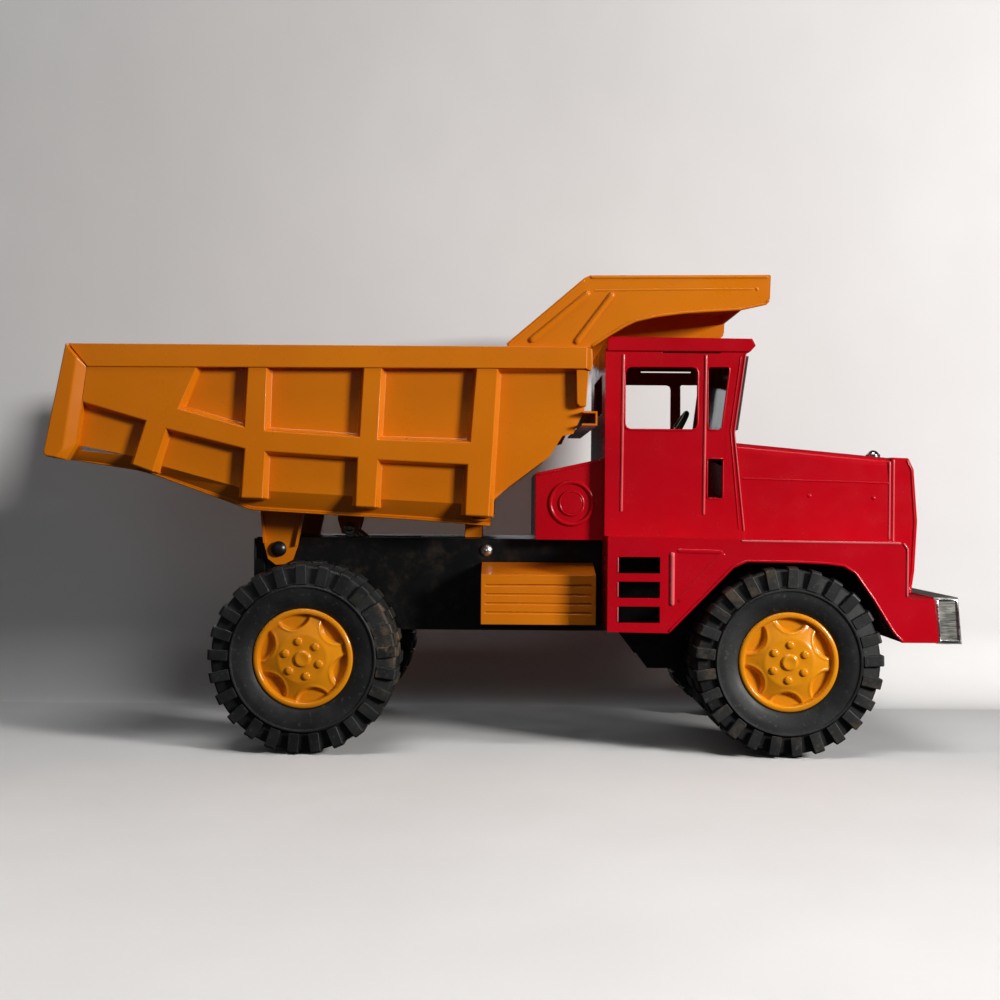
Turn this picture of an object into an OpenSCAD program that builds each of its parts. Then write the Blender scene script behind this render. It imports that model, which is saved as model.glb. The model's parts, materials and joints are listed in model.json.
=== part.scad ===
// Toy quarry dump truck, pressed steel, tipping body on a folded chassis.
// Frame: +X forward, +Z up, the wheels stand on Z = 0 and Y = 0 is the
// centre plane. Lengths in millimetres.

/* [Wheels] */
// Rolling radius of the tyres
tyre_r = 51; // [50:0.5:51]
// Width of a tyre
tyre_w = 45; // [43:0.5:45]
// Outer radius of the wheel disc
disc_r = 26.6; // [25:0.2:28]
// Distance from the centre plane to the outer face of a tyre
track_half = 95; // [94.5:0.5:96]
// Position of the rear axle along X
rear_axle_x = -105.6; // [-107:0.2:-104]
// Position of the front axle along X
front_axle_x = 153; // [152:0.2:154]
// Radius of the axle shafts
axle_r = 2.5; // [2:0.25:3]

/* [Chassis] */
// Half width over the chassis webs
frame_half = 42.2; // [41:0.2:43]
// Height of the chassis deck
frame_top = 114.2; // [113.5:0.1:114.4]
// Height of the lower edge of the webs
frame_bottom = 62.5; // [58:0.5:64]

/* [Tipping body] */
// Half width over the ribs of the body sides
bed_half = 82; // [81:0.5:84]
// How far the ribs and the rim stand out from the side sheet
rib_depth = 6; // [3:0.5:7]
// Height of the body rim
rim_z = 219; // [218.8:0.1:219.2]
// Hinge pin position along X
hinge_x = -125.7; // [-126:0.1:-125.5]
// Hinge pin height
hinge_z = 107.7; // [107:0.1:108]
// Radius of the hinge pin
pin_r = 3; // [2.5:0.25:3.5]

/* [Cab] */
// Half width of the cab
cab_half = 62; // [61:0.5:63]
// Half width over the wings
wing_half = 88; // [87:0.5:89]
// Half width of the bonnet
hood_half = 60; // [59:0.5:61]
// Downward slope of the bonnet towards the front, in degrees
hood_slope = 5.15; // [4.5:0.05:5.6]
// Height of the flat ledge on top of the wings
ledge_z = 117; // [116.6:0.1:117.4]

/* [Sheet] */
// Thickness of the pressed sheet
sheet = 1.2; // [0.8:0.1:1.4]

/* [Hidden] */
$fn = 64;
gap = 0.3;
run_fit = 0.05;
r_ax = axle_r;
bed_in = bed_half - rib_depth - sheet;      // inner face of the side sheet
bed_mid = bed_half - rib_depth;             // outer face of the side sheet
tyre_in = track_half - tyre_w;
axle_z = tyre_r;
// strut pivots: on the body, and on the chassis
strut_u = [-90, 119];
strut_l = [-25, 75];
strut_a = atan2(strut_l[1] - strut_u[1], strut_l[0] - strut_u[0]);
strut_len = norm(strut_l - strut_u);

// ---------- helpers ----------
// An outline in the XZ plane, extruded between two Y values
module side_plate(pts, y0, y1)
  translate([0, y1, 0]) rotate([90, 0, 0]) linear_extrude(height = y1 - y0) polygon(pts);
// A solid cylinder along Y between two Y values
module y_rod(x, z, r, y0, y1)
  translate([x, y1, z]) rotate([90, 0, 0]) cylinder(r = r, h = y1 - y0);
module y_tube(x, z, ro, ri, y0, y1)
  difference() { y_rod(x, z, ro, y0, y1); y_rod(x, z, ri, y0 - 1, y1 + 1); }
module block(x0, x1, y0, y1, z0, z1)
  translate([x0, y0, z0]) cube([x1 - x0, y1 - y0, z1 - z0]);
// The same thing on the left side of the truck
module both() { children(); mirror([0, 1, 0]) children(); }
// Rounded rectangle outline in XZ
function rrect(x0, x1, z0, z1, r, n = 6) = concat(
  [for (i = [0:n]) [x1 - r + r * cos(90 * i / n), z1 - r + r * sin(90 * i / n)]],
  [for (i = [0:n]) [x0 + r - r * sin(90 * i / n), z1 - r + r * cos(90 * i / n)]],
  [for (i = [0:n]) [x0 + r - r * cos(90 * i / n), z0 + r - r * sin(90 * i / n)]],
  [for (i = [0:n]) [x1 - r + r * sin(90 * i / n), z0 + r - r * cos(90 * i / n)]]);

// ---------- chassis ----------
module chassis_frame() color("#17171a") difference() {
  union() {
    block(-139, 214, -frame_half, frame_half, frame_top - sheet, frame_top);
    both() block(-139, 214, frame_half - sheet, frame_half, frame_bottom, frame_top);
  }
  // slot for the strut
  block(-101, -48, -12, 12, frame_top - 5, frame_top + 5);
  y_rod(hinge_x, hinge_z, pin_r, -60, 60);
  y_rod(strut_l[0], strut_l[1], 2, -60, 60);
  both() y_rod(-8.8, 107.7, 1.8, 30, 60);
}

module rear_end_plate() color("#17171a") {
  block(-140.2, -139, -44, 44, 92, 113.6);
  both() block(-139, -134, frame_half, 44, 92, 102);
}

module hanger(outline, x, top, half) difference() {
  union() {
    both() side_plate(outline, half - 1.5, half);
    block(x[0], x[1], -half, half, top - 1.5, top);
  }
  children();
}
module rear_axle_hanger() color("#17171a")
  hanger([[-136, frame_top - sheet], [-75, frame_top - sheet], [-75, 62], [-92, 42],
    [-119, 42], [-136, 62]], [-134.5, -102], frame_top - sheet, frame_half - sheet) {
      y_rod(rear_axle_x, axle_z, r_ax, -60, 60);
      y_rod(hinge_x, hinge_z, pin_r, -60, 60);
    }
module front_axle_hanger() color("#17171a")
  hanger([[68.5, 90], [199, 90], [199, 60.4], [185, 41.2], [83, 41.5], [68.5, 60.4]],
    [100, 199], 90, frame_half - sheet)
      y_rod(front_axle_x, axle_z, r_ax, -60, 60);

module axle(x) color("#b9bbbd") y_rod(x, axle_z, r_ax, -91.4, 91.4);
module axle_spacers() color("#8d8f92")
  for (x = [rear_axle_x, front_axle_x]) both()
    y_tube(x, axle_z, 5, r_ax, frame_half - sheet, tyre_in + 2.6);
module axle_push_nuts() color("#c9cbcd")
  for (x = [rear_axle_x, front_axle_x]) both()
    y_tube(x, axle_z, 4.6, r_ax, 90.3, 91.4);

module hinge_pin() color("#101012") {
  y_rod(hinge_x, hinge_z, pin_r, -47.5, 47.5);
  both() translate([hinge_x, 47.3, hinge_z]) rotate([-90, 0, 0]) intersection() {
    cylinder(r = 4.4, h = 3.2);
    translate([0, 0, -2.6]) sphere(r = 5.8);
  }
}
module hinge_spacers() color("#202024")
  both() y_tube(hinge_x, hinge_z, 5.4, pin_r, frame_half, 45.4);
module strut_anchor_pin() color("#101012")
  y_rod(strut_l[0], strut_l[1], 2, -frame_half - 1, frame_half + 1);

// Side box: pressed yellow box with a top that slopes up to the web
module side_box() difference() {
  rotate([90, 0, 90]) translate([0, 0, -11.4]) linear_extrude(height = 63) polygon([
    [frame_half, 68], [71, 68], [71, 95.4], [frame_half, 101]]);
  rotate([90, 0, 90]) translate([0, 0, -10.2]) linear_extrude(height = 60.6) polygon([
    [frame_half - 1, 69.2], [69.2, 69.2], [69.2, 94.4], [frame_half - 1, 100]]);
  // shallow pressed grooves on the front face
  for (z = [74, 79, 84, 89]) block(-9, 49, 70.4, 72, z, z + 1);
}
module side_box_right() color("#f0950f") mirror([0, 1, 0]) side_box();
module side_box_left() color("#f0950f") side_box();

module chassis_screws() color("#c9cbcd")
  both() translate([-8.8, 0, 107.7]) rotate([-90, 0, 0]) {
    translate([0, 0, frame_half - 4]) cylinder(r = 1.8, h = 5);
    translate([0, 0, frame_half]) intersection() {
      cylinder(r = 3.4, h = 2.4);
      translate([0, 0, -2.2]) sphere(r = 4.5);
    }
  }

// ---------- cab ----------
cab_lo = frame_top + 0.2;
cab_pts = [[56.6, cab_lo], [56.6, 220.6], [134.7, 220.6], [134.6, 218.6],
  [128.5, 174.4], [134.5, cab_lo]];
module cab_shell() color("#c4001a") difference() {
  side_plate(cab_pts, -cab_half, cab_half);
  // inside
  side_plate([[56.6 + sheet, cab_lo - 1], [56.6 + sheet, 221.6],
    [134.7 - sheet, 221.6], [134.6 - sheet, 218.6], [128.5 - sheet, 174.4],
    [134.5 - sheet, cab_lo - 1]], -cab_half + sheet, cab_half - sheet);
  // door windows and quarter windows
  both() side_plate(rrect(67.4, 107.5, 176, 210.5, 3), cab_half - 5, cab_half + 5);
  both() side_plate([[114.4, 176], [119.6, 176], [121, 177], [125, 209.6], [124, 210.7],
    [114, 210.7], [113.2, 209.8], [113.4, 177]], cab_half - 5, cab_half + 5);
  // narrow slits under the roof edge
  both() block(88, 120, cab_half - 5, cab_half + 5, 218.3, 219.2);
  // handle slots
  both() block(113.6, 121.6, cab_half - 5, cab_half + 5, 138.3, 159.8);
  // windshield openings on both sides of the centre post
  both() block(120, 140, 3, cab_half - 6, 179, 214);
  // rear window
  block(50, 60, -34, 34, 186, 208);
}
module cab_roof() color("#b80018") difference() {
  side_plate([[57.4, 219.2], [57.4, 225.6], [59, 227], [137.4, 226.4], [139.4, 222.6],
    [136.4, 219.2]], -cab_half - 1.6, cab_half + 1.6);
  side_plate([[50, 218], [50, 220.6], [135.6, 220.6], [135.4, 218]],
    -cab_half, cab_half);
  side_plate([[58.6, 220], [58.6, 225.8], [137, 225.2], [137.6, 222.6], [135, 220]],
    -cab_half + 1, cab_half - 1);
}
module on_windshield(y0, y1, d0, d1, za, zb)
  side_plate([for (p = [[d0, za], [d1, za], [d1, zb], [d0, zb]])
    [128.5 + (p[1] - 174.4) * 6.1 / 44.2 + p[0], p[1]]], y0, y1);
module windshield() color("#2f8f9c", 0.5)
  on_windshield(-cab_half + 3, cab_half - 3, -2.4, -1.25, 176.6, 216);
module windshield_frame() color("#1b1b1d") difference() {
  on_windshield(-cab_half + 1.2, cab_half - 1.2, 0, 1.6, 176.0, 217.0);
  both() on_windshield(3, cab_half - 6, -4, 5, 179, 214);
}
module cab_floor() color("#8c0014") {
  block(57.8, 132.8, -cab_half + sheet, cab_half - sheet, cab_lo, cab_lo + sheet);
}
module steering_column() color("#1d1d1f")
  translate([127.6, -26, 158.5]) rotate([0, -60, 0]) cylinder(r = 2, h = 35, $fn = 32);
module steering_wheel() color("#1f4a2c")
  translate([127.6, -26, 158.5]) rotate([0, -60, 0]) translate([0, 0, 33]) {
    difference() {
      union() {
        rotate_extrude($fn = 64) translate([14, 0]) circle(r = 1.5, $fn = 24);
        cylinder(r = 4, h = 3.2, center = true);
        for (a = [0, 120, 240]) rotate(a) translate([2, -1.3, -0.9]) cube([12, 2.6, 1.8]);
      }
      cylinder(r = 2, h = 20, center = true);
    }
  }

// ---------- front ----------
// Bonnet: crowned sheet that slopes down to the front, its rear edge cut to
// the rake of the cab front
hood_top = [[-1, 159.5], [-0.99, 162], [-0.958, 163.9], [-0.9, 164.8], [0, 166.3],
  [0.9, 164.8], [0.958, 163.9], [0.99, 162], [1, 159.5]];
module hood_core(w, drop) translate([175, 0, 165]) rotate([0, hood_slope, 0])
  translate([-175, 0, -165]) rotate([90, 0, 90]) translate([0, 0, 110])
    linear_extrude(height = 125) polygon(concat([[-w, 90]],
      [for (p = hood_top) [p[0] * w, p[1] - drop]], [[w, 90]]));
module bonnet() color("#c4001a") intersection() {
  difference() {
    hood_core(hood_half, 0);
    hood_core(hood_half - sheet, sheet);
  }
  side_plate([[134.62, cab_lo], [128.66, 174.4], [128.66, 185], [215.5, 185],
    [215.5, cab_lo]], -hood_half - 1, hood_half + 1);
}
rad_pts = [[215.7, 86], [215.7, 161.6], [225.5, 161.2], [228.4, 155], [230.6, 126.4],
  [229.2, 98.4], [227.4, 86]];
module radiator_shell() color("#c4001a") difference() {
  side_plate(rad_pts, -hood_half + 1, hood_half - 1);
  side_plate([[210, 84], [210, 160.2], [224.6, 159.8], [227.2, 155], [229.3, 126.4],
    [227.9, 98.4], [226.4, 84]], -hood_half + 2.2, hood_half - 2.2);
  // grille opening
  block(222, 240, -36, 36, 96, 148);
}
module radiator_grille() color("#1b1b1d") {
  block(221.6, 222.8, -39, 39, 93, 151);
  for (i = [-5:5]) block(222.8, 226.4, i * 6.6 - 1, i * 6.6 + 1, 94, 150);
  difference() {
    side_plate([[222.8, 93], [227.34, 93], [227.9, 98.4], [229.3, 126.4],
      [227.49, 151], [222.8, 151]], -39, 39);
    block(220, 235, -37, 37, 95, 149);
  }
}
module radiator_cap() color("#d8dadc") translate([225.3 - 4.4, 0, 161.58]) {
  cylinder(r = 4.2, h = 3.6);
  translate([0, 0, 3.6]) intersection() {
    cylinder(r = 3.6, h = 4);
    translate([0, 0, -1.4]) sphere(r = 3.8);
  }
}

// Wing: outer panel with the arch and louvres, ledge, rear and front walls
wing_pts = [[56.6, 66], [56.6, ledge_z - 0.6], [57.2, ledge_z], [214.8, ledge_z - 1.6],
  [217.5, ledge_z - 4.4], [217.5, 85], [231.8, 85], [233.9, 61.4], [214.3, 61.4],
  [209.5, 66.7], [198.6, 84.3], [188.9, 98.1], [183, 101.8], [174, 103.0],
  [159.4, 103.6], [131.1, 103.9], [124.1, 100.8], [89.7, 65.6]];
module wing() {
  difference() {
    side_plate(wing_pts, wing_half - sheet, wing_half);
    for (z = [71, 84.3, 97.5]) block(62.4, 84.7, wing_half - 5, wing_half + 5, z, z + 8.8);
  }
  // ledge from the cab side out to the wing
  side_plate([[57.2, ledge_z], [214.8, ledge_z - 1.6], [214.8, ledge_z - 2.8],
    [57.2, ledge_z - sheet]], cab_half, wing_half - sheet);
  side_plate([[134.7, ledge_z - 0.787], [214.8, ledge_z - 1.6], [217.5, ledge_z - 4.4],
    [216.3, ledge_z - 4.9], [214.4, ledge_z - 2.8], [134.7, ledge_z - 1.987]],
    hood_half, wing_half - sheet);
  // rear wall and front wall
  block(56.6, 57.8, frame_half, cab_half, 66, cab_lo);
  block(56.6, 57.8, cab_half, wing_half - sheet, 66, ledge_z - sheet);
  block(216.3, 217.5, hood_half, wing_half - sheet, 84, ledge_z - 4.4);
  // lower front step
  block(216.3, 230.6, hood_half, wing_half - sheet, 84 - 0.2, 85);
}
module wing_right() color("#c4001a") mirror([0, 1, 0]) wing();
module wing_left() color("#c4001a") wing();
module front_valance() color("#c4001a") {
  side_plate([[230.6, 85], [231.8, 85], [233.9, 61.4], [232.7, 61.4]],
    -wing_half + sheet, wing_half - sheet);
  block(214.5, 231, -hood_half, hood_half, 84, 85);
  block(214.5, 232.8, -wing_half + sheet, wing_half - sheet, 61.4, 62.5);
}
bump = [[231.8, 85.8], [244.8, 85.8], [247.1, 60.8], [233.9, 60.8], [233.9, 61.4],
  [233.83, 62.2], [245.6, 62.2], [243.6, 84.6], [231.84, 84.6], [231.8, 85]];
module bumper() color("#c9cbcd") {
  side_plate(bump, -84.8, 84.8);
  both() side_plate([[231.8, 85.8], [244.8, 85.8], [247.1, 60.8], [233.9, 60.8],
    [233.9, 61.4], [231.8, 85]], 84.8, 86);
}

module air_cleaner_box() color("#c4001a") {
  difference() {
    side_plate([[18.5, frame_top], [18.5, 150.2], [19.2, 151.6], [56.6, 160],
      [56.6, frame_top]], -55, 55);
    side_plate([[18.5 + sheet, frame_top - 1], [18.5 + sheet, 150], [55.4, 158.4],
      [55.4, frame_top - 1]], -55 + sheet, 55 - sheet);
  }
  both() translate([38.6, 55, 134.7]) rotate([-90, 0, 0]) {
    difference() { cylinder(r = 12.6, h = 0.8); translate([0, 0, -1]) cylinder(r = 11, h = 3); }
    cylinder(r = 6, h = 0.7);
  }
}

// ---------- tipping body ----------
side_out = [[-235.4, rim_z], [-247.1, 159.3], [-236, 156.5], [-199.6, 151],
  [-191.4, 148.9], [-137.2, 129.7], [-44.9, 124.9], [-6.6, 122], [-5.6, 135.6],
  [4, 143.8], [25.5, 160.1], [32.4, 171.2], [38.3, 172.6], [44.1, 185.1],
  [45.3, 207.2], [45.3, rim_z]];
rec = [ // pressed recess fields between the ribs, upper row then lower row
  [[-166, 205], [-138.2, 205.2], [-139.6, 174.5], [-174.8, 184.4]],
  [[-127.4, 205.3], [-75.7, 205.9], [-77.4, 169.6], [-128.3, 172.9]],
  [[-65.5, 206], [-14.8, 206.6], [-17.7, 167.3], [-67.3, 168.6]],
  [[-2.9, 206.8], [60, 207.4], [60, 100], [-9, 100], [-6.8, 127.4]],
  [[-227.6, 187.3], [-193, 177.3], [-198.8, 158.9], [-201.4, 150], [-230, 150]],
  [[-181.6, 173.1], [-139.5, 162.6], [-141, 130], [-190, 145]],
  [[-128.2, 161.3], [-78.6, 158.2], [-79.9, 120], [-129.8, 120]],
  [[-67.2, 157.2], [-19.2, 154.9], [-20.6, 120], [-69, 120]]];
module bed_side() {
  side_plate(side_out, bed_in, bed_mid);
  // rim, border and ribs stand out from the sheet
  translate([0, bed_half, 0]) rotate([90, 0, 0]) linear_extrude(height = rib_depth)
    difference() {
      polygon([[-235.4, rim_z], [-246.8, 160.6], [-239, 158.5], [-230, 157.6],
        [-199.3, 153.5], [-188.5, 149.3], [-186.3, 149.3], [-141.2, 136.1], [-129, 136],
        [-79, 131.9], [-68, 131.5], [-18.5, 127.4], [-6.4, 127.4], [-5.6, 135.6],
        [4, 143.8], [25.5, 160.1], [32.4, 171.2], [38.3, 172.6], [44.1, 185.1],
        [45.3, 207.2], [45.3, rim_z]]);
      for (r = rec) polygon(r);
    }
}
module bed_side_right() color("#f0950f") mirror([0, 1, 0]) bed_side();
module bed_side_left() color("#f0950f") bed_side();

floor_lo = [[-246.2, 157.6], [-236, 156.5], [-199.6, 151], [-191.4, 148.9],
  [-137.2, 129.7], [-44.9, 124.9], [-6.6, 122]];
// Underside of the flat middle of the floor at a given X
function under(x) = 129.7 - (x + 137.2) * 4.8 / 92.3;
module bed_floor() color("#f0950f")
  side_plate(concat(floor_lo, [for (i = [6:-1:0]) floor_lo[i] + [0, 1.4]]),
    -bed_in, bed_in);
module bed_bulkhead() color("#f0950f")
  side_plate([[-16, 124.11], [-16, 125.3], [-7.8, 124.7], [-6.4, 135.4], [3.3, 144.6],
    [24.9, 161], [31.8, 172], [43, 186], [44, rim_z], [45.3, rim_z], [45.3, 207],
    [44.3, 185.2], [32.8, 171], [25.6, 160], [4.2, 143.6], [-5.0, 134.8],
    [-6.6, 123.4]], -bed_in, bed_in);
module bulkhead_channel() color("#f0950f") difference() {
  side_plate([[44.3, 184.6], [50.9, 184.4], [50.9, 176.8], [42.6, 176.8],
    [43.1, 183.6], [43.88, 184.6]], -bed_half, bed_half);
  side_plate([[40, 183.6], [49.9, 183.4], [49.9, 177.8], [40, 177.8]],
    -bed_half - 1, bed_half + 1);
}
skirt = [[1.7, rim_z], [1.7, 221], [43.2, 256.5], [46.4, 258], [143.7, 259],
  [144.2, 258.4], [143.8, 246], [141.5, 244.2], [128.2, 241.2], [97.3, 239.1],
  [81.9, 237], [70.9, 234.5], [64.4, 231.4], [56.7, 226.8], [46.7, rim_z]];
module canopy() color("#f0950f") {
  both() side_plate(skirt, 79, 80.2);
  side_plate([[44, 256.8], [46.4, 258], [143.7, 259], [143.7, 257.8], [46.6, 256.8]],
    -79, 79);
  side_plate([[44.1, rim_z], [61.6, 250], [64.6, 257], [66, 257], [62.8, 249.4],
    [45.4, rim_z]], -79, 79);
  block(142.6, 143.7, -79, 79, 252, 258);
}
module hinge_bracket() difference() {
  union() {
    side_plate([[-136, under(-136)], [-134.2, 111], [-131.8, 102.1], [-127.3, 98.7],
      [-122.4, 99.2], [-117.8, 101.6], [-115.1, 109.5], [-111.3, under(-111.3)]], 45.7, 47);
    side_plate([[-136, under(-136)], [-134.2, 111], [-133, 111], [-134.7, under(-134.7)]], 47, 49.5);
    side_plate([[-112.6, under(-112.6)], [-116.3, 109.5], [-115.1, 109.5],
      [-111.3, under(-111.3)]], 47, 49.5);
  }
  y_rod(hinge_x, hinge_z, pin_r + run_fit, 40, 60);
}
module hinge_bracket_right() color("#f0950f") mirror([0, 1, 0]) hinge_bracket();
module hinge_bracket_left() color("#f0950f") hinge_bracket();
module lift_bracket() color("#f0950f") difference() {
  union() {
    both() side_plate([[-97, under(-97)], [-97, 124], [-94.5, 115.4], [-85.5, 115.4],
      [-83, 124], [-83, under(-83)]], 7.2, 8.6);
    side_plate([[-97, under(-97)], [-97, under(-97) - sheet], [-83, under(-83) - sheet],
      [-83, under(-83)]], -7.2, 7.2);
  }
  y_rod(strut_u[0], strut_u[1], 2, -20, 20);
}
module lift_pin() color("#c9cbcd") {
  y_rod(strut_u[0], strut_u[1], 2, -9.4, 9.4);
  both() translate([strut_u[0], 8.6, strut_u[1]]) rotate([-90, 0, 0]) intersection() {
    cylinder(r = 3.4, h = 2.2);
    translate([0, 0, -2.4]) sphere(r = 4.4);
  }
}
module rest_feet() color("#b5650a") both()
  side_plate([[-21.4, 123.1], [-21.4, frame_top + gap], [-11.5, frame_top + gap],
    [-11.5, 122.37]], 22, 30);

// ---------- strut ----------
// Drawn along +X from the upper pivot, then turned onto the line of pivots
module on_strut() translate([strut_u[0], 0, strut_u[1]]) rotate([0, -strut_a, 0]) children();
module strut_rod() color("#c9cbcd") on_strut() difference() {
  union() {
    y_rod(0, 0, 5, -4, 4);
    rotate([0, 90, 0]) cylinder(r = 2.6, h = 62);
  }
  y_rod(0, 0, 2 + run_fit, -10, 10);
}
module strut_cylinder() color("#3a3b3e") on_strut() difference() {
  union() {
    translate([24, 0, 0]) rotate([0, 90, 0]) cylinder(r = 4.6, h = strut_len - 28);
    y_rod(strut_len, 0, 7.6, -3.4, 3.4);
  }
  translate([23, 0, 0]) rotate([0, 90, 0]) cylinder(r = 2.6 + run_fit, h = 44);
  y_rod(strut_len, 0, 5.3, -10, 10);
}

// ---------- wheels ----------
// Wheel parts are turned about the axle, drawn for the left side
module lathe_y(x) translate([x, 0, axle_z]) rotate([-90, 0, 0])
  rotate_extrude($fn = 96) children();
module tyre(x) lathe_y(x) polygon([[disc_r, tyre_in + 6], [disc_r, track_half - 4],
  [disc_r + 1.2, track_half - 2.4], [33, track_half - 0.8], [38, track_half],
  [47.6, track_half], [tyre_r - 0.8, track_half - 1.6], [tyre_r, track_half - 5],
  [tyre_r, tyre_in + 5], [tyre_r - 0.8, tyre_in + 1.6], [47.6, tyre_in],
  [38, tyre_in], [31, tyre_in + 2]]);
module wheel_disc(x) lathe_y(x) polygon([[0, 93.2], [0, 94.4], [3.6, 94.4], [4.6, 93.2],
  [12.6, 93.2], [14.4, 91], [22.4, 90.2], [24, 92], [25.4, 92.8], [disc_r, 92],
  [disc_r, 71], [disc_r - 1.2, 71], [disc_r - 1.2, 90.6], [24.6, 91.2], [22.8, 89],
  [14, 89.8], [12, 92], [4, 92], [3.2, 93.2]]);
module wheel_drum(x) lathe_y(x) polygon([[r_ax + run_fit, tyre_in + 3], [r_ax + run_fit, 90],
  [5.6, 90], [5.6, tyre_in + 6.4], [disc_r - 1.2, tyre_in + 6.4], [disc_r - 1.2, 70.8],
  [disc_r, 70.8], [disc_r, tyre_in + 5.2], [8, tyre_in + 5.2], [8, tyre_in + 3]]);

chassis_frame();
rear_end_plate();
rear_axle_hanger();
front_axle_hanger();
axle(rear_axle_x);  // rear_axle
axle(front_axle_x);  // front_axle
axle_spacers();
axle_push_nuts();
hinge_pin();
hinge_spacers();
strut_anchor_pin();
side_box_right();
side_box_left();
chassis_screws();
cab_shell();
cab_roof();
windshield();
windshield_frame();
cab_floor();
steering_column();
steering_wheel();
bonnet();
radiator_shell();
radiator_grille();
radiator_cap();
wing_right();
wing_left();
front_valance();
bumper();
air_cleaner_box();
bed_side_right();
bed_side_left();
bed_floor();
bed_bulkhead();
bulkhead_channel();
canopy();
hinge_bracket_right();
hinge_bracket_left();
lift_bracket();
lift_pin();
rest_feet();
strut_rod();
strut_cylinder();
color("#1a1b1c") mirror([0, 1, 0]) tyre(front_axle_x);  // tyre_front_right
color("#1a1b1c") tyre(front_axle_x);  // tyre_front_left
color("#1a1b1c") mirror([0, 1, 0]) tyre(rear_axle_x);  // tyre_rear_right
color("#1a1b1c") tyre(rear_axle_x);  // tyre_rear_left
color("#f0950f") mirror([0, 1, 0]) wheel_disc(front_axle_x);  // wheel_disc_front_right
color("#f0950f") wheel_disc(front_axle_x);  // wheel_disc_front_left
color("#f0950f") mirror([0, 1, 0]) wheel_disc(rear_axle_x);  // wheel_disc_rear_right
color("#f0950f") wheel_disc(rear_axle_x);  // wheel_disc_rear_left
color("#2a2a2c") mirror([0, 1, 0]) wheel_drum(front_axle_x);  // wheel_drum_front_right
color("#2a2a2c") wheel_drum(front_axle_x);  // wheel_drum_front_left
color("#2a2a2c") mirror([0, 1, 0]) wheel_drum(rear_axle_x);  // wheel_drum_rear_right
color("#2a2a2c") wheel_drum(rear_axle_x);  // wheel_drum_rear_left
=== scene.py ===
import json
import math
import bpy
import bmesh
from mathutils import Vector, Matrix
from mathutils import geometry as mg


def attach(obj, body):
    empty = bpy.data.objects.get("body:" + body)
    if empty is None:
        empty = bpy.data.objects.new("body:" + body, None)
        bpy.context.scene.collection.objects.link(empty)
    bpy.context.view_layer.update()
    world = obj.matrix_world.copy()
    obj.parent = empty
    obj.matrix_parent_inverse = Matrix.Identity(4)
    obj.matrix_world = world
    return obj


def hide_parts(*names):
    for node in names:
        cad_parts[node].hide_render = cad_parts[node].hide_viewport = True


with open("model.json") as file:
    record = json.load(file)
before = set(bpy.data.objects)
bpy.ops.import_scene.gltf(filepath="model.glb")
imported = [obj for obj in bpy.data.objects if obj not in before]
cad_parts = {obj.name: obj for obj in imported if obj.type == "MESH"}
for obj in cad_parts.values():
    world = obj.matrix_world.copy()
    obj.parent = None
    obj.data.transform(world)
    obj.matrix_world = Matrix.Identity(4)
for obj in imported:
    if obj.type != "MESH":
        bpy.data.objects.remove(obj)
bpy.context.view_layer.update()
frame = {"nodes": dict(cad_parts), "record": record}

MM = 0.001
scene = bpy.context.scene

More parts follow.
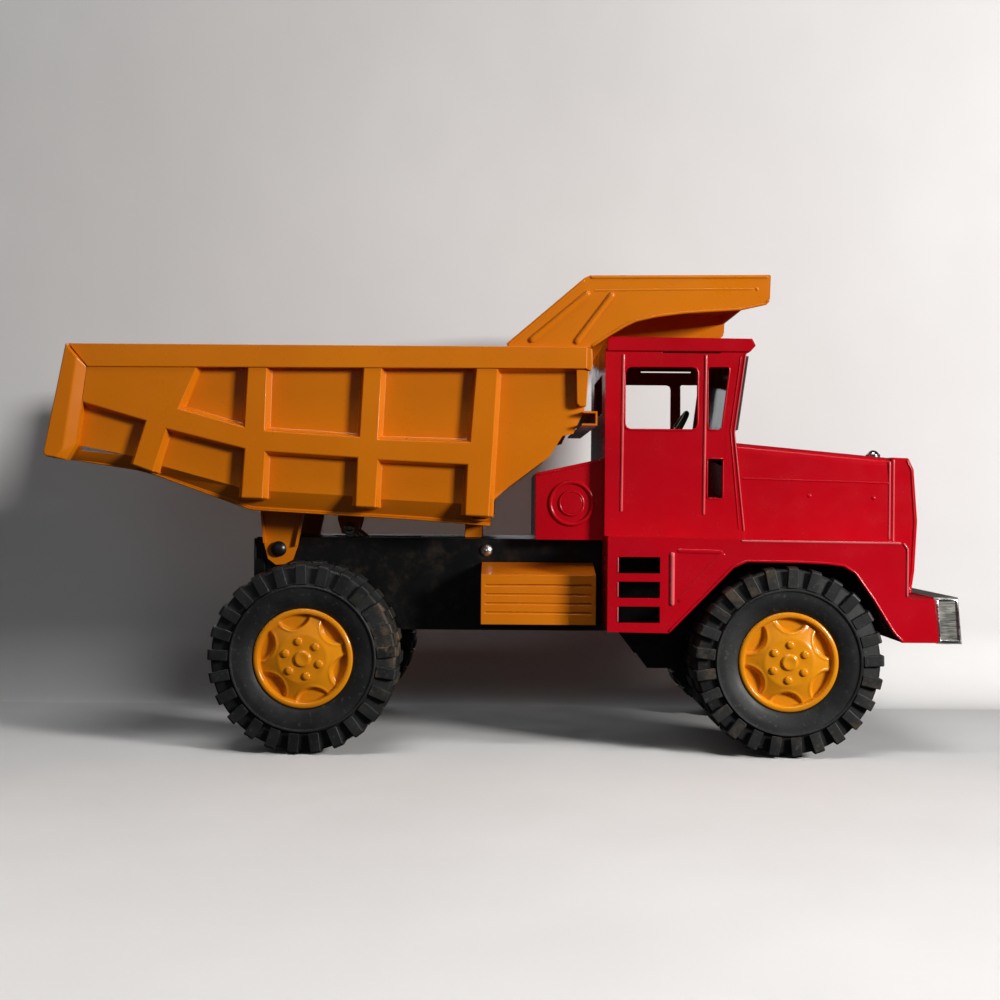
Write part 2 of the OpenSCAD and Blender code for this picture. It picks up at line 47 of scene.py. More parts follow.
# ---------------------------------------------------------------- materials
class Nodes:
    """Small helper around a material's node tree."""
    def __init__(self, name):
        self.mat = bpy.data.materials.new(name)
        self.mat.use_nodes = True
        self.t = self.mat.node_tree
        self.t.nodes.clear()
        self.out = self.add("ShaderNodeOutputMaterial")
        self.bsdf = self.add("ShaderNodeBsdfPrincipled")
        self.link(self.bsdf.outputs[0], self.out.inputs[0])
        tc = self.add("ShaderNodeTexCoord")
        self.co = tc.outputs["Object"]

    def add(self, kind, **kw):
        n = self.t.nodes.new(kind)
        for k, v in kw.items():
            setattr(n, k, v)
        return n

    def link(self, a, b):
        self.t.links.new(a, b)

    def set(self, **kw):
        for k, v in kw.items():
            self.bsdf.inputs[k.replace("_", " ")].default_value = v

    def noise(self, scale, detail=3.0, rough=0.55, dist=0.0, co=None):
        n = self.add("ShaderNodeTexNoise")
        n.inputs["Scale"].default_value = scale
        n.inputs["Detail"].default_value = detail
        n.inputs["Roughness"].default_value = rough
        n.inputs["Distortion"].default_value = dist
        self.link(co or self.co, n.inputs["Vector"])
        return n.outputs["Fac"]

    def voronoi(self, scale, feature="F1", co=None):
        n = self.add("ShaderNodeTexVoronoi", feature=feature)
        n.inputs["Scale"].default_value = scale
        self.link(co or self.co, n.inputs["Vector"])
        return n.outputs["Distance"]

    def ramp(self, src, stops):
        n = self.add("ShaderNodeValToRGB")
        e = n.color_ramp.elements
        while len(e) < len(stops):
            e.new(0.5)
        for el, (p, c) in zip(e, stops):
            el.position = p
            el.color = c if len(c) == 4 else (*c, 1)
        self.link(src, n.inputs[0])
        return n.outputs[0]

    def step(self, src, a, b):
        n = self.add("ShaderNodeMapRange")
        n.interpolation_type = "SMOOTHSTEP"
        n.inputs["From Min"].default_value = a
        n.inputs["From Max"].default_value = b
        self.link(src, n.inputs["Value"])
        return n.outputs["Result"]

    def maprange(self, src, a, b, c, d):
        n = self.add("ShaderNodeMapRange")
        n.inputs["From Min"].default_value = a
        n.inputs["From Max"].default_value = b
        n.inputs["To Min"].default_value = c
        n.inputs["To Max"].default_value = d
        self.link(src, n.inputs["Value"])
        return n.outputs["Result"]

    def math(self, op, a, b=None, clamp=False):
        n = self.add("ShaderNodeMath", operation=op)
        n.use_clamp = clamp
        for i, v in enumerate((a, b)):
            if v is None:
                continue
            if hasattr(v, "links"):
                self.link(v, n.inputs[i])
            else:
                n.inputs[i].default_value = v
        return n.outputs[0]

    def mix(self, fac, a, b, blend="MIX"):
        n = self.add("ShaderNodeMix", data_type="RGBA", blend_type=blend)
        for sock, v in ((n.inputs[0], fac), (n.inputs[6], a), (n.inputs[7], b)):
            if hasattr(v, "links"):
                self.link(v, sock)
            elif isinstance(v, (int, float)):
                sock.default_value = v
            else:
                sock.default_value = v if len(v) == 4 else (*v, 1)
        return n.outputs[2]

    def scaled(self, sx, sy, sz):
        n = self.add("ShaderNodeMapping")
        n.inputs["Scale"].default_value = (sx, sy, sz)
        self.link(self.co, n.inputs["Vector"])
        return n.outputs[0]

    def axis(self, i):
        n = self.add("ShaderNodeSeparateXYZ")
        self.link(self.co, n.inputs[0])
        return n.outputs[i]

    def edge(self, radius=0.0007):
        """1 along sharp outer edges, 0 on flat ground."""
        b = self.add("ShaderNodeBevel")
        b.samples = 4
        b.inputs["Radius"].default_value = radius
        g = self.add("ShaderNodeNewGeometry")
        d = self.add("ShaderNodeVectorMath", operation="DOT_PRODUCT")
        self.link(b.outputs[0], d.inputs[0])
        self.link(g.outputs["Normal"], d.inputs[1])
        return self.step(self.math("SUBTRACT", 1.0, d.outputs["Value"]), 0.02, 0.2)

    def bump(self, items):
        """items: (height socket, distance in metres, strength)"""
        prev = None
        for h, dist, st in items:
            n = self.add("ShaderNodeBump")
            n.inputs["Distance"].default_value = dist
            n.inputs["Strength"].default_value = st
            self.link(h, n.inputs["Height"])
            if prev is not None:
                self.link(prev, n.inputs["Normal"])
            prev = n.outputs[0]
        self.link(prev, self.bsdf.inputs["Normal"])


def enamel(name, base, deep, chip=(0.02, 0.018, 0.016), rough=0.3, wear=0.5, wave=1.0,
           dirt=(0.05, 0.035, 0.02), dust=0.0, coat=0.15):
    m = Nodes(name)
    tone = m.noise(9, 4, 0.6)
    col = m.mix(m.step(tone, 0.3, 0.75), deep, base)
    # faint cloudy fading and fine speckle in the old enamel
    col = m.mix(m.maprange(m.noise(42, 5, 0.65), 0.35, 0.75, 0.0, 0.10), col, deep)
    speck = m.step(m.noise(900, 2, 0.5), 0.70, 0.76)
    col = m.mix(m.math("MULTIPLY", speck, 0.25), col, dirt)
    # edge chips down to dark primer
    edge = m.edge(0.0008)
    brk = m.step(m.noise(320, 4, 0.7), 0.56 - 0.06 * wear, 0.62 - 0.06 * wear)
    patch = m.step(m.noise(38, 3, 0.6), 0.42, 0.62)
    chips = m.math("MULTIPLY", m.math("MULTIPLY", edge, brk), m.math("MULTIPLY", patch, wear), True)
    col = m.mix(chips, col, chip)
    # scattered small pits on open ground
    pits = m.step(m.voronoi(210), 0.055, 0.03)
    few = m.step(m.noise(26, 2, 0.5), 0.62, 0.70)
    pits = m.math("MULTIPLY", pits, few)
    col = m.mix(m.math("MULTIPLY", pits, 0.75 * wear), col, chip)
    if dust:
        d = m.math("MULTIPLY", m.step(m.noise(70, 5, 0.7), 0.45, 0.75), dust)
        col = m.mix(d, col, (0.28, 0.2, 0.12))
    m.link(col, m.bsdf.inputs["Base Color"])
    r = m.maprange(m.noise(65, 4, 0.6), 0.3, 0.75, rough - 0.06, rough + 0.10)
    scr = m.step(m.noise(30, 3, 0.6, co=m.scaled(30, 4, 4)), 0.62, 0.70)
    r = m.math("ADD", r, m.math("MULTIPLY", scr, 0.02))
    r = m.math("ADD", r, m.math("MULTIPLY", chips, 0.35))
    m.link(r, m.bsdf.inputs["Roughness"])
    m.set(Specular_IOR_Level=0.30, Coat_Weight=coat, Coat_Roughness=0.08, Coat_IOR=1.45)
    m.bump([(m.noise(18, 2, 0.45), 0.0011 * wave, 0.35),
            (m.noise(700, 2, 0.5), 0.00004, 0.35),
            (m.math("SUBTRACT", 1.0, m.math("ADD", chips, pits, True)), 0.00008, 0.45)])
    return m.mat


def steel(name, base, rough=0.32, stain=0.5, metallic=1.0, stretch=(4, 60, 60)):
    m = Nodes(name)
    st = m.step(m.noise(30, 5, 0.65), 0.48, 0.68)
    fine = m.step(m.noise(420, 3, 0.6), 0.56, 0.66)
    col = m.mix(m.math("MULTIPLY", st, stain), base, tuple(c * 0.45 for c in base))
    col = m.mix(m.math("MULTIPLY", fine, stain * 0.6), col, (0.10, 0.085, 0.06))
    m.link(col, m.bsdf.inputs["Base Color"])
    br = m.noise(24, 4, 0.6, co=m.scaled(*stretch))
    r = m.maprange(br, 0.3, 0.7, rough - 0.1, rough + 0.14)
    r = m.math("ADD", r, m.math("MULTIPLY", st, 0.16))
    m.link(r, m.bsdf.inputs["Roughness"])
    m.set(Metallic=metallic)
    m.bump([(br, 0.000015, 0.35), (fine, 0.00002, 0.3), (m.noise(20, 2, 0.4), 0.0005, 0.22)])
    return m.mat


def rubber(name, dust=0.2, near=None):
    m = Nodes(name)
    col = m.mix(m.step(m.noise(60, 4, 0.6), 0.35, 0.7), (0.0075, 0.0078, 0.008), (0.018, 0.019, 0.019))
    col = m.mix(m.step(m.noise(480, 3, 0.6), 0.60, 0.72), col, (0.045, 0.045, 0.043))
    geo = m.add("ShaderNodeNewGeometry")
    edge = m.edge(0.0009)
    col = m.mix(m.math("MULTIPLY", edge, m.maprange(m.noise(90, 4, 0.7), 0.4, 0.7, 0.0, 0.5)), col, (0.06, 0.06, 0.055))
    d = m.math("MULTIPLY", m.step(m.noise(75, 5, 0.72), 0.47, 0.66), m.step(m.noise(12, 2, 0.5), 0.42, 0.62))
    # the dust sits on the tread and lugs, well outside the smooth wall
    att = m.add("ShaderNodeAttribute", attribute_name="lug")
    d = m.math("MULTIPLY", d, att.outputs["Fac"])
    if near is not None:
        d = m.math("MULTIPLY", d, m.step(m.axis(0), near, near + 0.03))
    d = m.math("MULTIPLY", d, dust, True)
    col = m.mix(d, col, (0.17, 0.115, 0.06))
    m.link(col, m.bsdf.inputs["Base Color"])
    r = m.maprange(m.noise(35, 4, 0.6), 0.3, 0.7, 0.42, 0.62)
    r = m.math("ADD", r, m.math("MULTIPLY", d, 0.25))
    m.link(r, m.bsdf.inputs["Roughness"])
    m.set(Specular_IOR_Level=0.42)
    m.bump([(m.noise(260, 4, 0.65), 0.00012, 0.5), (m.noise(1500, 2, 0.5), 0.00003, 0.5)])
    return m.mat


def plastic(name, base, rough=0.45):
    m = Nodes(name)
    col = m.mix(m.step(m.noise(70, 4, 0.6), 0.35, 0.7), tuple(c * 0.7 for c in base), base)
    m.link(col, m.bsdf.inputs["Base Color"])
    m.link(m.maprange(m.noise(140, 3, 0.6), 0.3, 0.7, rough - 0.08, rough + 0.1), m.bsdf.inputs["Roughness"])
    m.bump([(m.noise(900, 3, 0.55), 0.00004, 0.5)])
    return m.mat


def glazing(name):
    m = Nodes(name)
    haze = m.noise(55, 4, 0.6)
    col = m.mix(m.step(haze, 0.35, 0.7), (0.16, 0.42, 0.50), (0.24, 0.50, 0.57))
    m.link(col, m.bsdf.inputs["Base Color"])
    m.link(m.maprange(haze, 0.3, 0.7, 0.06, 0.16), m.bsdf.inputs["Roughness"])
    m.set(Transmission_Weight=0.85, IOR=1.25, Alpha=0.85)
    m.bump([(m.noise(40, 2, 0.5), 0.0004, 0.2)])
    return m.mat


YELLOW = enamel("yellow_enamel", (0.80, 0.222, 0.003), (0.71, 0.182, 0.002), rough=0.30, wear=0.55)
YELLOW_HUB = enamel("yellow_enamel_hub", (0.83, 0.30, 0.007), (0.72, 0.23, 0.004), rough=0.19, wear=0.35, wave=0.4, coat=0.5)
# pale pink red for the raised seam, edge, rib and lip beads: a painted highlight standing in for the glints along them
RED_PAINTED_HIGHLIGHT = enamel("red_enamel_painted_highlight", (0.85, 0.17, 0.18), (0.70, 0.06, 0.07), chip=(0.03, 0.01, 0.012), rough=0.22, wear=0.2, coat=0.4)
YELLOW_BOX = enamel("yellow_enamel_box", (0.80, 0.222, 0.003), (0.71, 0.182, 0.002), rough=0.36, wear=0.9)
RED = enamel("red_enamel", (0.60, 0.0022, 0.0120), (0.50, 0.0018, 0.009), chip=(0.03, 0.01, 0.012), rough=0.22, wear=0.35)
# darker copy of the red enamel for the cab floor inside: painted shade
RED_SHADED = enamel("red_enamel_inside_painted_shade", (0.40, 0.004, 0.012), (0.30, 0.003, 0.010), rough=0.4, wear=0.4)
BLACK = enamel("black_enamel", (0.0065, 0.0065, 0.0070), (0.0045, 0.0045, 0.005), chip=(0.06, 0.045, 0.03),
               rough=0.34, wear=0.7, dirt=(0.05, 0.035, 0.02), dust=0.10)
STEEL = steel("bright_steel", (0.60, 0.60, 0.58), 0.28, 0.35)
BUMPER = steel("bumper_steel", (0.60, 0.585, 0.535), 0.30, 0.30)
CHROME = steel("bright_chrome", (0.74, 0.74, 0.75), 0.14, 0.15)
DARK = steel("dark_steel", (0.11, 0.11, 0.12), 0.38, 0.4)
RUBBER_F = rubber("tyre_rubber_front", 0.35)
RUBBER_R = rubber("tyre_rubber_rear", 0.85, -0.092)
PLASTIC = plastic("dark_plastic", (0.028, 0.027, 0.026), 0.42)
GREEN = plastic("green_plastic", (0.035, 0.10, 0.035), 0.38)
PIN = plastic("black_pin", (0.012, 0.012, 0.014), 0.3)
TEAL = glazing("teal_glazing")

# ---------------------------------------------------------------- mesh helpers
def obj_from(name, verts, faces, recalc=True):
    me = bpy.data.meshes.new(name)
    me.from_pydata([(v[0] * MM, v[1] * MM, v[2] * MM) for v in verts], [], faces)
    me.validate()
    if recalc:
        bm = bmesh.new()
        bm.from_mesh(me)
        bmesh.ops.remove_doubles(bm, verts=bm.verts, dist=1e-6)
        bmesh.ops.recalc_face_normals(bm, faces=bm.faces)
        bm.to_mesh(me)
        bm.free()
    ob = bpy.data.objects.new(name, me)
    scene.collection.objects.link(ob)
    return ob


def finish_mesh(ob, mat, bevel=0.0, segs=2, solid=0.0, angle=32, wn=True, bevel_angle=28):
    me = ob.data
    me.materials.clear()
    me.materials.append(mat)
    me.polygons.foreach_set("use_smooth", [True] * len(me.polygons))
    if not bevel:
        me.set_sharp_from_angle(angle=math.radians(angle))
    if solid:
        s = ob.modifiers.new("thick", "SOLIDIFY")
        s.thickness = solid * MM
        s.offset = -1
        s.use_even_offset = True
    if bevel:
        b = ob.modifiers.new("round", "BEVEL")
        b.width = bevel * MM
        b.segments = segs
        b.limit_method = "ANGLE"
        b.angle_limit = math.radians(bevel_angle)
        b.harden_normals = False
        b.use_clamp_overlap = True
        b.miter_outer = "MITER_ARC"
    if wn:
        w = ob.modifiers.new("normals", "WEIGHTED_NORMAL")
        w.keep_sharp = True
        w.weight = 80
    return ob


def stand_for(ob, body, node=None, also=()):
    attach(ob, body)
    nodes = ([node] if node else []) + list(also)
    if nodes:
        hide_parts(*nodes)
    return ob


def join(name, obs):
    bpy.ops.object.select_all(action="DESELECT")
    deps = bpy.context.evaluated_depsgraph_get()
    for o in obs:
        if o.modifiers:
            ev = o.evaluated_get(deps)
            me = bpy.data.meshes.new_from_object(ev)
            o.modifiers.clear()
            o.data = me
    for o in obs:
        o.select_set(True)
    bpy.context.view_layer.objects.active = obs[0]
    bpy.ops.object.join()
    r = bpy.context.view_layer.objects.active
    r.name = name
    r.data.name = name
    r.select_set(False)
    return r


def body_of(node):
    for b, ns in frame["record"]["behaviour"]["bodies"].items():
        if node in ns:
            return b
    raise KeyError(node)


def dress(node, mat, bevel=0.25, segs=2, name=None, angle=28):
    """A bevelled, clean-shaded copy of a CAD node that stands for it."""
    src = frame["nodes"][node]
    me = src.data.copy()
    bm = bmesh.new()
    bm.from_mesh(me)
    bmesh.ops.remove_doubles(bm, verts=bm.verts, dist=2e-6)
    bmesh.ops.dissolve_limit(bm, angle_limit=math.radians(0.6), verts=bm.verts, edges=bm.edges)
    bmesh.ops.recalc_face_normals(bm, faces=bm.faces)
    bm.to_mesh(me)
    bm.free()
    ob = bpy.data.objects.new(name or (node + "_skin"), me)
    scene.collection.objects.link(ob)
    finish_mesh(ob, mat, bevel=bevel, segs=segs, bevel_angle=angle)
    stand_for(ob, body_of(node), node)
    return ob


def area2(p):
    return 0.5 * sum(p[i][0] * p[(i + 1) % len(p)][1] - p[(i + 1) % len(p)][0] * p[i][1] for i in range(len(p)))


def ccw(p):
    return list(p) if area2(p) > 0 else list(reversed(p))


def rounded(poly, r, n=5):
    """Rounds every corner; r is one radius or one per corner."""
    poly = ccw(poly) if not hasattr(r, "__len__") else list(poly)
    m = len(poly)
    rr = list(r) if hasattr(r, "__len__") else [r] * m
    out = []
    for i in range(m):
        p = Vector(poly[i]); a = Vector(poly[i - 1]) - p; b = Vector(poly[(i + 1) % m]) - p
        la, lb = a.length, b.length
        a.normalize(); b.normalize()
        ang = a.angle(b)
        t = rr[i] / max(math.tan(ang / 2), 1e-3)
        t = min(t, 0.46 * la, 0.46 * lb)
        if t < 0.02 or ang > math.radians(176):
            out.append((p.x, p.y))
            continue
        p0, p2 = p + a * t, p + b * t
        for k in range(n + 1):
            s = k / n
            q = p0 * (1 - s) ** 2 + p * 2 * s * (1 - s) + p2 * s * s
            out.append((q.x, q.y))
    return out


def offset(poly, d):
    """Moves each point of a counter-clockwise outline inwards by d (outwards if negative)."""
    m = len(poly)
    out = []
    for i in range(m):
        p = Vector(poly[i]); a = (p - Vector(poly[i - 1])); b = (Vector(poly[(i + 1) % m]) - p)
        if a.length < 1e-9 or b.length < 1e-9:
            out.append(tuple(p)); continue
        a.normalize(); b.normalize()
        na, nb = Vector((-a.y, a.x)), Vector((-b.y, b.x))
        nn = na + nb
        if nn.length < 1e-6:
            out.append(tuple(p)); continue
        nn.normalize()
        k = max(0.35, nn.dot(na))
        q = p + nn * (d / k)
        out.append((q.x, q.y))
    return out


def inside(pt, poly):
    x, y = pt
    c = False
    j = len(poly) - 1
    for i in range(len(poly)):
        xi, yi = poly[i]; xj, yj = poly[j]
        if (yi > y) != (yj > y) and x < (xj - xi) * (y - yi) / (yj - yi) + xi:
            c = not c
        j = i
    return c


def relief(name, keep, drop, loops, put):
    """Triangulated surface through closed loops [(points, height)], kept inside outline
    `keep` and outside the outlines in `drop`; put(x, z, h) gives the place in mm."""
    pts, hs, edges = [], [], []
    for poly, h in loops:
        s = len(pts)
        n = len(poly)
        for i, p in enumerate(poly):
            pts.append(Vector(p))
            hs.append(h[i] if hasattr(h, "__len__") else h)
            edges.append((s + i, s + (i + 1) % n))
    vo, eo, fo, ov, oe, of = mg.delaunay_2d_cdt(pts, edges, [], 0, 1e-5, True)
    vh = []
    for i, ids in enumerate(ov):
        if ids:
            vh.append(hs[ids[0]])
        else:
            j = min(range(len(pts)), key=lambda k: (pts[k] - vo[i]).length_squared)
            vh.append(hs[j])
    faces = []
    for f in fo:
        c = sum((vo[i] for i in f), Vector((0, 0))) / len(f)
        if inside(c, keep) and not any(inside(c, d) for d in drop):
            faces.append(list(f))
    used = sorted({i for f in faces for i in f})
    re = {o: k for k, o in enumerate(used)}
    verts = [put(vo[i].x, vo[i].y, vh[i]) for i in used]
    faces = [[re[i] for i in f] for f in faces]
    return verts, faces


def face_towards(ob, direction):
    """Turns an open sheet so that its faces look along direction."""
    me = ob.data
    s = sum((p.normal * p.area for p in me.polygons), Vector())
    if s.dot(Vector(direction)) < 0:
        me.flip_normals()


def plate(name, outline, holes, y0, y1, side, mat, bevel=0.22, segs=2):
    """A flat sheet in XZ with through holes, between |Y| = y0 and y1 on one side."""
    outline = ccw(outline)
    loops = [(outline, 0.0)] + [(ccw(h), 0.0) for h in holes]
    put = lambda x, z, h: (x, side * y1, z)
    verts, faces = relief(name, outline, [ccw(h) for h in holes], loops, put)
    ob = obj_from(name, verts, faces)
    face_towards(ob, (0, side, 0))
    bm = bmesh.new(); bm.from_mesh(ob.data)
    bmesh.ops.dissolve_limit(bm, angle_limit=0.01, verts=bm.verts, edges=bm.edges, delimit=set())
    bm.to_mesh(ob.data); bm.free()
    finish_mesh(ob, mat, bevel=bevel, segs=segs, solid=(y1 - y0))
    return ob


def frustum(name, top, bottom, yt, yb, side, mat, bevel=0.3, segs=2):
    """A prism whose outer outline (at |Y| = yt) and inner outline (|Y| = yb) differ."""
    n = len(top)
    v = [(p[0], side * yt, p[1]) for p in top] + [(p[0], side * yb, p[1]) for p in bottom]
    f = [list(range(n)), list(range(2 * n - 1, n - 1, -1))]
    f += [[i, (i + 1) % n, n + (i + 1) % n, n + i] for i in range(n)]
    ob = obj_from(name, v, f)
    return finish_mesh(ob, mat, bevel=bevel, segs=segs)


def prism_y(name, outline, y0, y1, mat, bevel=0.3, segs=2):
    return frustum(name, outline, outline, y1, y0, 1, mat, bevel, segs)


def prism_x(name, outline_yz, x0, x1, mat, bevel=0.3, segs=2):
    n = len(outline_yz)
    v = [(x0, p[0], p[1]) for p in outline_yz] + [(x1, p[0], p[1]) for p in outline_yz]
    f = [list(range(n)), list(range(2 * n - 1, n - 1, -1))]
    f += [[i, (i + 1) % n, n + (i + 1) % n, n + i] for i in range(n)]
    ob = obj_from(name, v, f)
    return finish_mesh(ob, mat, bevel=bevel, segs=segs)


def bead(name, path, w, h, frame_fn, mat, n=7, taper=1.6):
    """A raised (h > 0) or sunk half-round line. frame_fn(u, v, h) places plane
    coordinates and height in mm."""
    pts = [Vector(p) for p in path]
    # resample with tapered ends
    dense = []
    for a, b in zip(pts[:-1], pts[1:]):
        k = max(2, int((b - a).length / 3))
        for i in range(k):
            dense.append(a.lerp(b, i / k))
    dense.append(pts[-1])
    total = [0.0]
    for a, b in zip(dense[:-1], dense[1:]):
        total.append(total[-1] + (b - a).length)
    extra = [0.0, 0.25 * taper, 0.55 * taper, taper]
    verts, faces = [], []
    rows = []
    stations = sorted(set([round(t, 4) for t in total] + [round(e, 4) for e in extra]
                          + [round(total[-1] - e, 4) for e in extra]))
    stations = [s for s in stations if 0 <= s <= total[-1]]
    for s in stations:
        j = max(i for i in range(len(total)) if total[i] <= s + 1e-6)
        j = min(j, len(dense) - 2)
        a, b = dense[j], dense[j + 1]
        t = (s - total[j]) / max((b - a).length, 1e-9)
        p = a.lerp(b, min(max(t, 0), 1))
        d = (b - a).normalized()
        if 0 < j and t < 0.02:
            d = ((b - a).normalized() + (a - dense[j - 1]).normalized()).normalized()
        nrm = Vector((-d.y, d.x))
        e = min(s, total[-1] - s)
        k = math.sqrt(max(0.0, 1 - (1 - min(e / taper, 1)) ** 2))
        k = max(k, 0.04)
        row = []
        for i in range(n):
            a_ = math.pi * i / (n - 1)
            off = -math.cos(a_) * w / 2 * k
            hh = math.sin(a_) * h * k
            q = p + nrm * off
            row.append(len(verts))
            verts.append(frame_fn(q.x, q.y, hh))
        rows.append(row)
    for r0, r1 in zip(rows[:-1], rows[1:]):
        for i in range(n - 1):
            faces.append([r0[i], r0[i + 1], r1[i + 1], r1[i]])
    for r, rev in ((rows[0], False), (rows[-1], True)):
        faces.append(list(reversed(r)) if rev else list(r))
    # closed underneath
    for r0, r1 in zip(rows[:-1], rows[1:]):
        faces.append([r0[0], r1[0], r1[-1], r0[-1]])
    ob = obj_from(name, verts, faces)
    return finish_mesh(ob, mat, angle=50, wn=False)


def lathe(name, profile, x, side, mat, segs=128, angle=32, zc=51.0):
    """Turns (radius, |Y|) points about the axle at x."""
    verts, faces = [], []
    n = len(profile)
    for k in range(segs):
        a = 2 * math.pi * k / segs
        for r, u in profile:
            verts.append((x + r * math.cos(a), side * u, zc + r * math.sin(a)))
    for k in range(segs):
        k2 = (k + 1) % segs
        for i in range(n - 1):
            faces.append([k * n + i, k * n + i + 1, k2 * n + i + 1, k2 * n + i])
    ob = obj_from(name, verts, faces)
    return finish_mesh(ob, mat, angle=angle, wn=False)


def dome(name, c, axis, r, h, mat, rings=6, segs=28, flat=0.0, rim=0.0):
    """A low dome with a rounded shoulder; c in mm, axis a unit vector."""
    ax = Vector(axis).normalized()
    u = ax.orthogonal().normalized(); w = ax.cross(u)
    verts, faces = [], []
    prof = [(r, -0.6), (r, rim)]
    for i in range(1, rings + 1):
        a = math.pi / 2 * i / rings
        prof.append((flat + (r - flat) * math.cos(a), rim + (h - rim) * math.sin(a)))
    for rr, hh in prof[:-1]:
        for k in range(segs):
            t = 2 * math.pi * k / segs
            p = Vector(c) + ax * hh + (u * math.cos(t) + w * math.sin(t)) * rr
            verts.append(tuple(p))
    m = len(prof) - 1
    top = len(verts); verts.append(tuple(Vector(c) + ax * prof[-1][1]))
    for i in range(m - 1):
        for k in range(segs):
            k2 = (k + 1) % segs
            faces.append([i * segs + k, i * segs + k2, (i + 1) * segs + k2, (i + 1) * segs + k])
    for k in range(segs):
        faces.append([(m - 1) * segs + k, (m - 1) * segs + (k + 1) % segs, top])
    faces.append([k for k in range(segs)][::-1])
    ob = obj_from(name, verts, faces)
    return finish_mesh(ob, mat, angle=50, wn=False)

# ---------------------------------------------------------------- tipping body
SIDE_OUT = [(-235.4, 219), (-247.1, 159.3), (-236, 156.5), (-199.6, 151), (-191.4, 148.9), (-137.2, 129.7),
            (-44.9, 124.9), (-6.6, 122), (-5.6, 135.6), (4, 143.8), (25.5, 160.1), (32.4, 171.2), (38.3, 172.6),
            (44.1, 185.1), (45.3, 207.2), (45.3, 219)]
BOTTOM_H = {0: 0, 1: 0, 2: -5.0, 3: -6.0, 4: -6.0, 5: -6.5, 6: -6.5, 7: -6.0}
CREASE = [(-246.2, 163.5), (-229.6, 163.9), (-199, 158.2), (-186.3, 153.6), (-141.5, 141.6), (-127.5, 140.1), (-78.9, 137.7),
          (-67.1, 136.2), (-19.1, 133.9), (-5.9, 132.6)]
# an open wedge between the side and the turned-down tail of the floor
WEDGE = [(-229.3, 163.6), (-226.5, 163.4), (-203.5, 158.6), (-229.8, 161.2)]


def edge_offset(poly, dist):
    """Moves each edge i (from point i to i+1) of a closed outline by dist[i], positive to the left."""
    m = len(poly)
    out = []
    for i in range(m):
        p = Vector(poly[i]); e0 = p - Vector(poly[i - 1]); e1 = Vector(poly[(i + 1) % m]) - p
        e0.normalize(); e1.normalize()
        n0, n1 = Vector((-e0.y, e0.x)), Vector((-e1.y, e1.x))
        d0, d1 = dist[i - 1], dist[i]
        det = n0.x * n1.y - n0.y * n1.x
        if abs(det) < 0.08:
            q = p + (n0 * d0 + n1 * d1) * 0.5
        else:
            q = p + Vector(((d0 * n1.y - d1 * n0.y) / det, (n0.x * d1 - n1.x * d0) / det))
        out.append((q.x, q.y))
    return out


def round_flagged(poly, flags, rad, n=4):
    """Rounds corners and carries each edge's flag; a corner's short edges take the flags of its neighbours."""
    m = len(poly)
    pts, fl = [], []
    for i in range(m):
        p = Vector(poly[i]); a = Vector(poly[i - 1]) - p; b = Vector(poly[(i + 1) % m]) - p
        la, lb = a.length, b.length
        a.normalize(); b.normalize()
        ang = a.angle(b)
        r = rad[i] if hasattr(rad, "__len__") else rad
        t = min(r / max(math.tan(ang / 2), 1e-3), 0.45 * la, 0.45 * lb)
        if r <= 0 or t < 0.05 or ang > math.radians(175):
            pts.append((p.x, p.y)); fl.append(flags[i])
            continue
        p0, p2 = p + a * t, p + b * t
        for k in range(n + 1):
            s = k / n
            q = p0 * (1 - s) ** 2 + p * 2 * s * (1 - s) + p2 * s * s
            pts.append((q.x, q.y))
            fl.append(flags[i] if k >= n / 2 else flags[i - 1])
    return pts, fl


# flags: E = free outer edge, W = drafted wall, F = long sloped facet, B = foot of a rib
PLATE = [(-230, 219, "E"), (-232.5, 188.6, "W"), (-227.6, 187.3, "W"), (-193, 177.3, "W"), (-198.6, 158.9, "W"),
         (-200.2, 153.7, "B"), (-188.4, 149.6, "W"), (-187.4, 153.8, "W"), (-181.6, 173.1, "W"), (-139.5, 162.6, "W"), (-140.9, 141.6, "W"),
         (-141.2, 136.1, "B"), (-129.1, 135.8, "W"), (-129.0, 140.4, "W"), (-128.2, 161.3, "W"), (-78.6, 158.2, "W"),
         (-79.3, 137.6, "W"), (-79.5, 131.9, "B"), (-68.2, 131.4, "W"), (-68.1, 136.4, "W"), (-67.2, 157.2, "W"),
         (-19.2, 154.9, "W"), (-20.1, 134.0, "W"), (-20.3, 127.6, "B"), (-7.0, 127.0, "W"), (-6.7, 132.8, "W"), (-2.9, 206.8, "W"),
         (45.3, 207.3, "E"), (45.3, 219, "E")]
HOLES = [
    [(-164.3, 209, "W"), (-138.0, 209, "W"), (-139.6, 174.5, "W"), (-174.8, 184.4, "W")],
    [(-127.4, 209, "W"), (-75.5, 209, "W"), (-77.4, 169.6, "W"), (-128.3, 172.9, "W")],
    [(-65.4, 209, "W"), (-14.6, 209, "W"), (-17.7, 167.3, "W"), (-67.3, 168.6, "W")],
]
# (distance by flag, height): inside the outline first
LEVELS = [({"E": 1.1, "W": 1.0, "F": 1.0, "B": 0.8}, 6.0), ({"E": 0.62, "W": 0.55, "F": 0.55, "B": 0.45}, 5.9),
          ({"E": 0.25, "W": 0.22, "F": 0.22, "B": 0.2}, 5.62), ({"E": 0.0, "W": 0.0, "F": 0.0, "B": 0.0}, 5.15),
          ({"E": 0.0, "W": -1.25, "F": -3.4, "B": -0.5}, 0.9), ({"E": 0.0, "W": -1.5, "F": -4.1, "B": -0.6}, 0.3),
          ({"E": 0.0, "W": -2.1, "F": -5.0, "B": -0.7}, -0.05)]


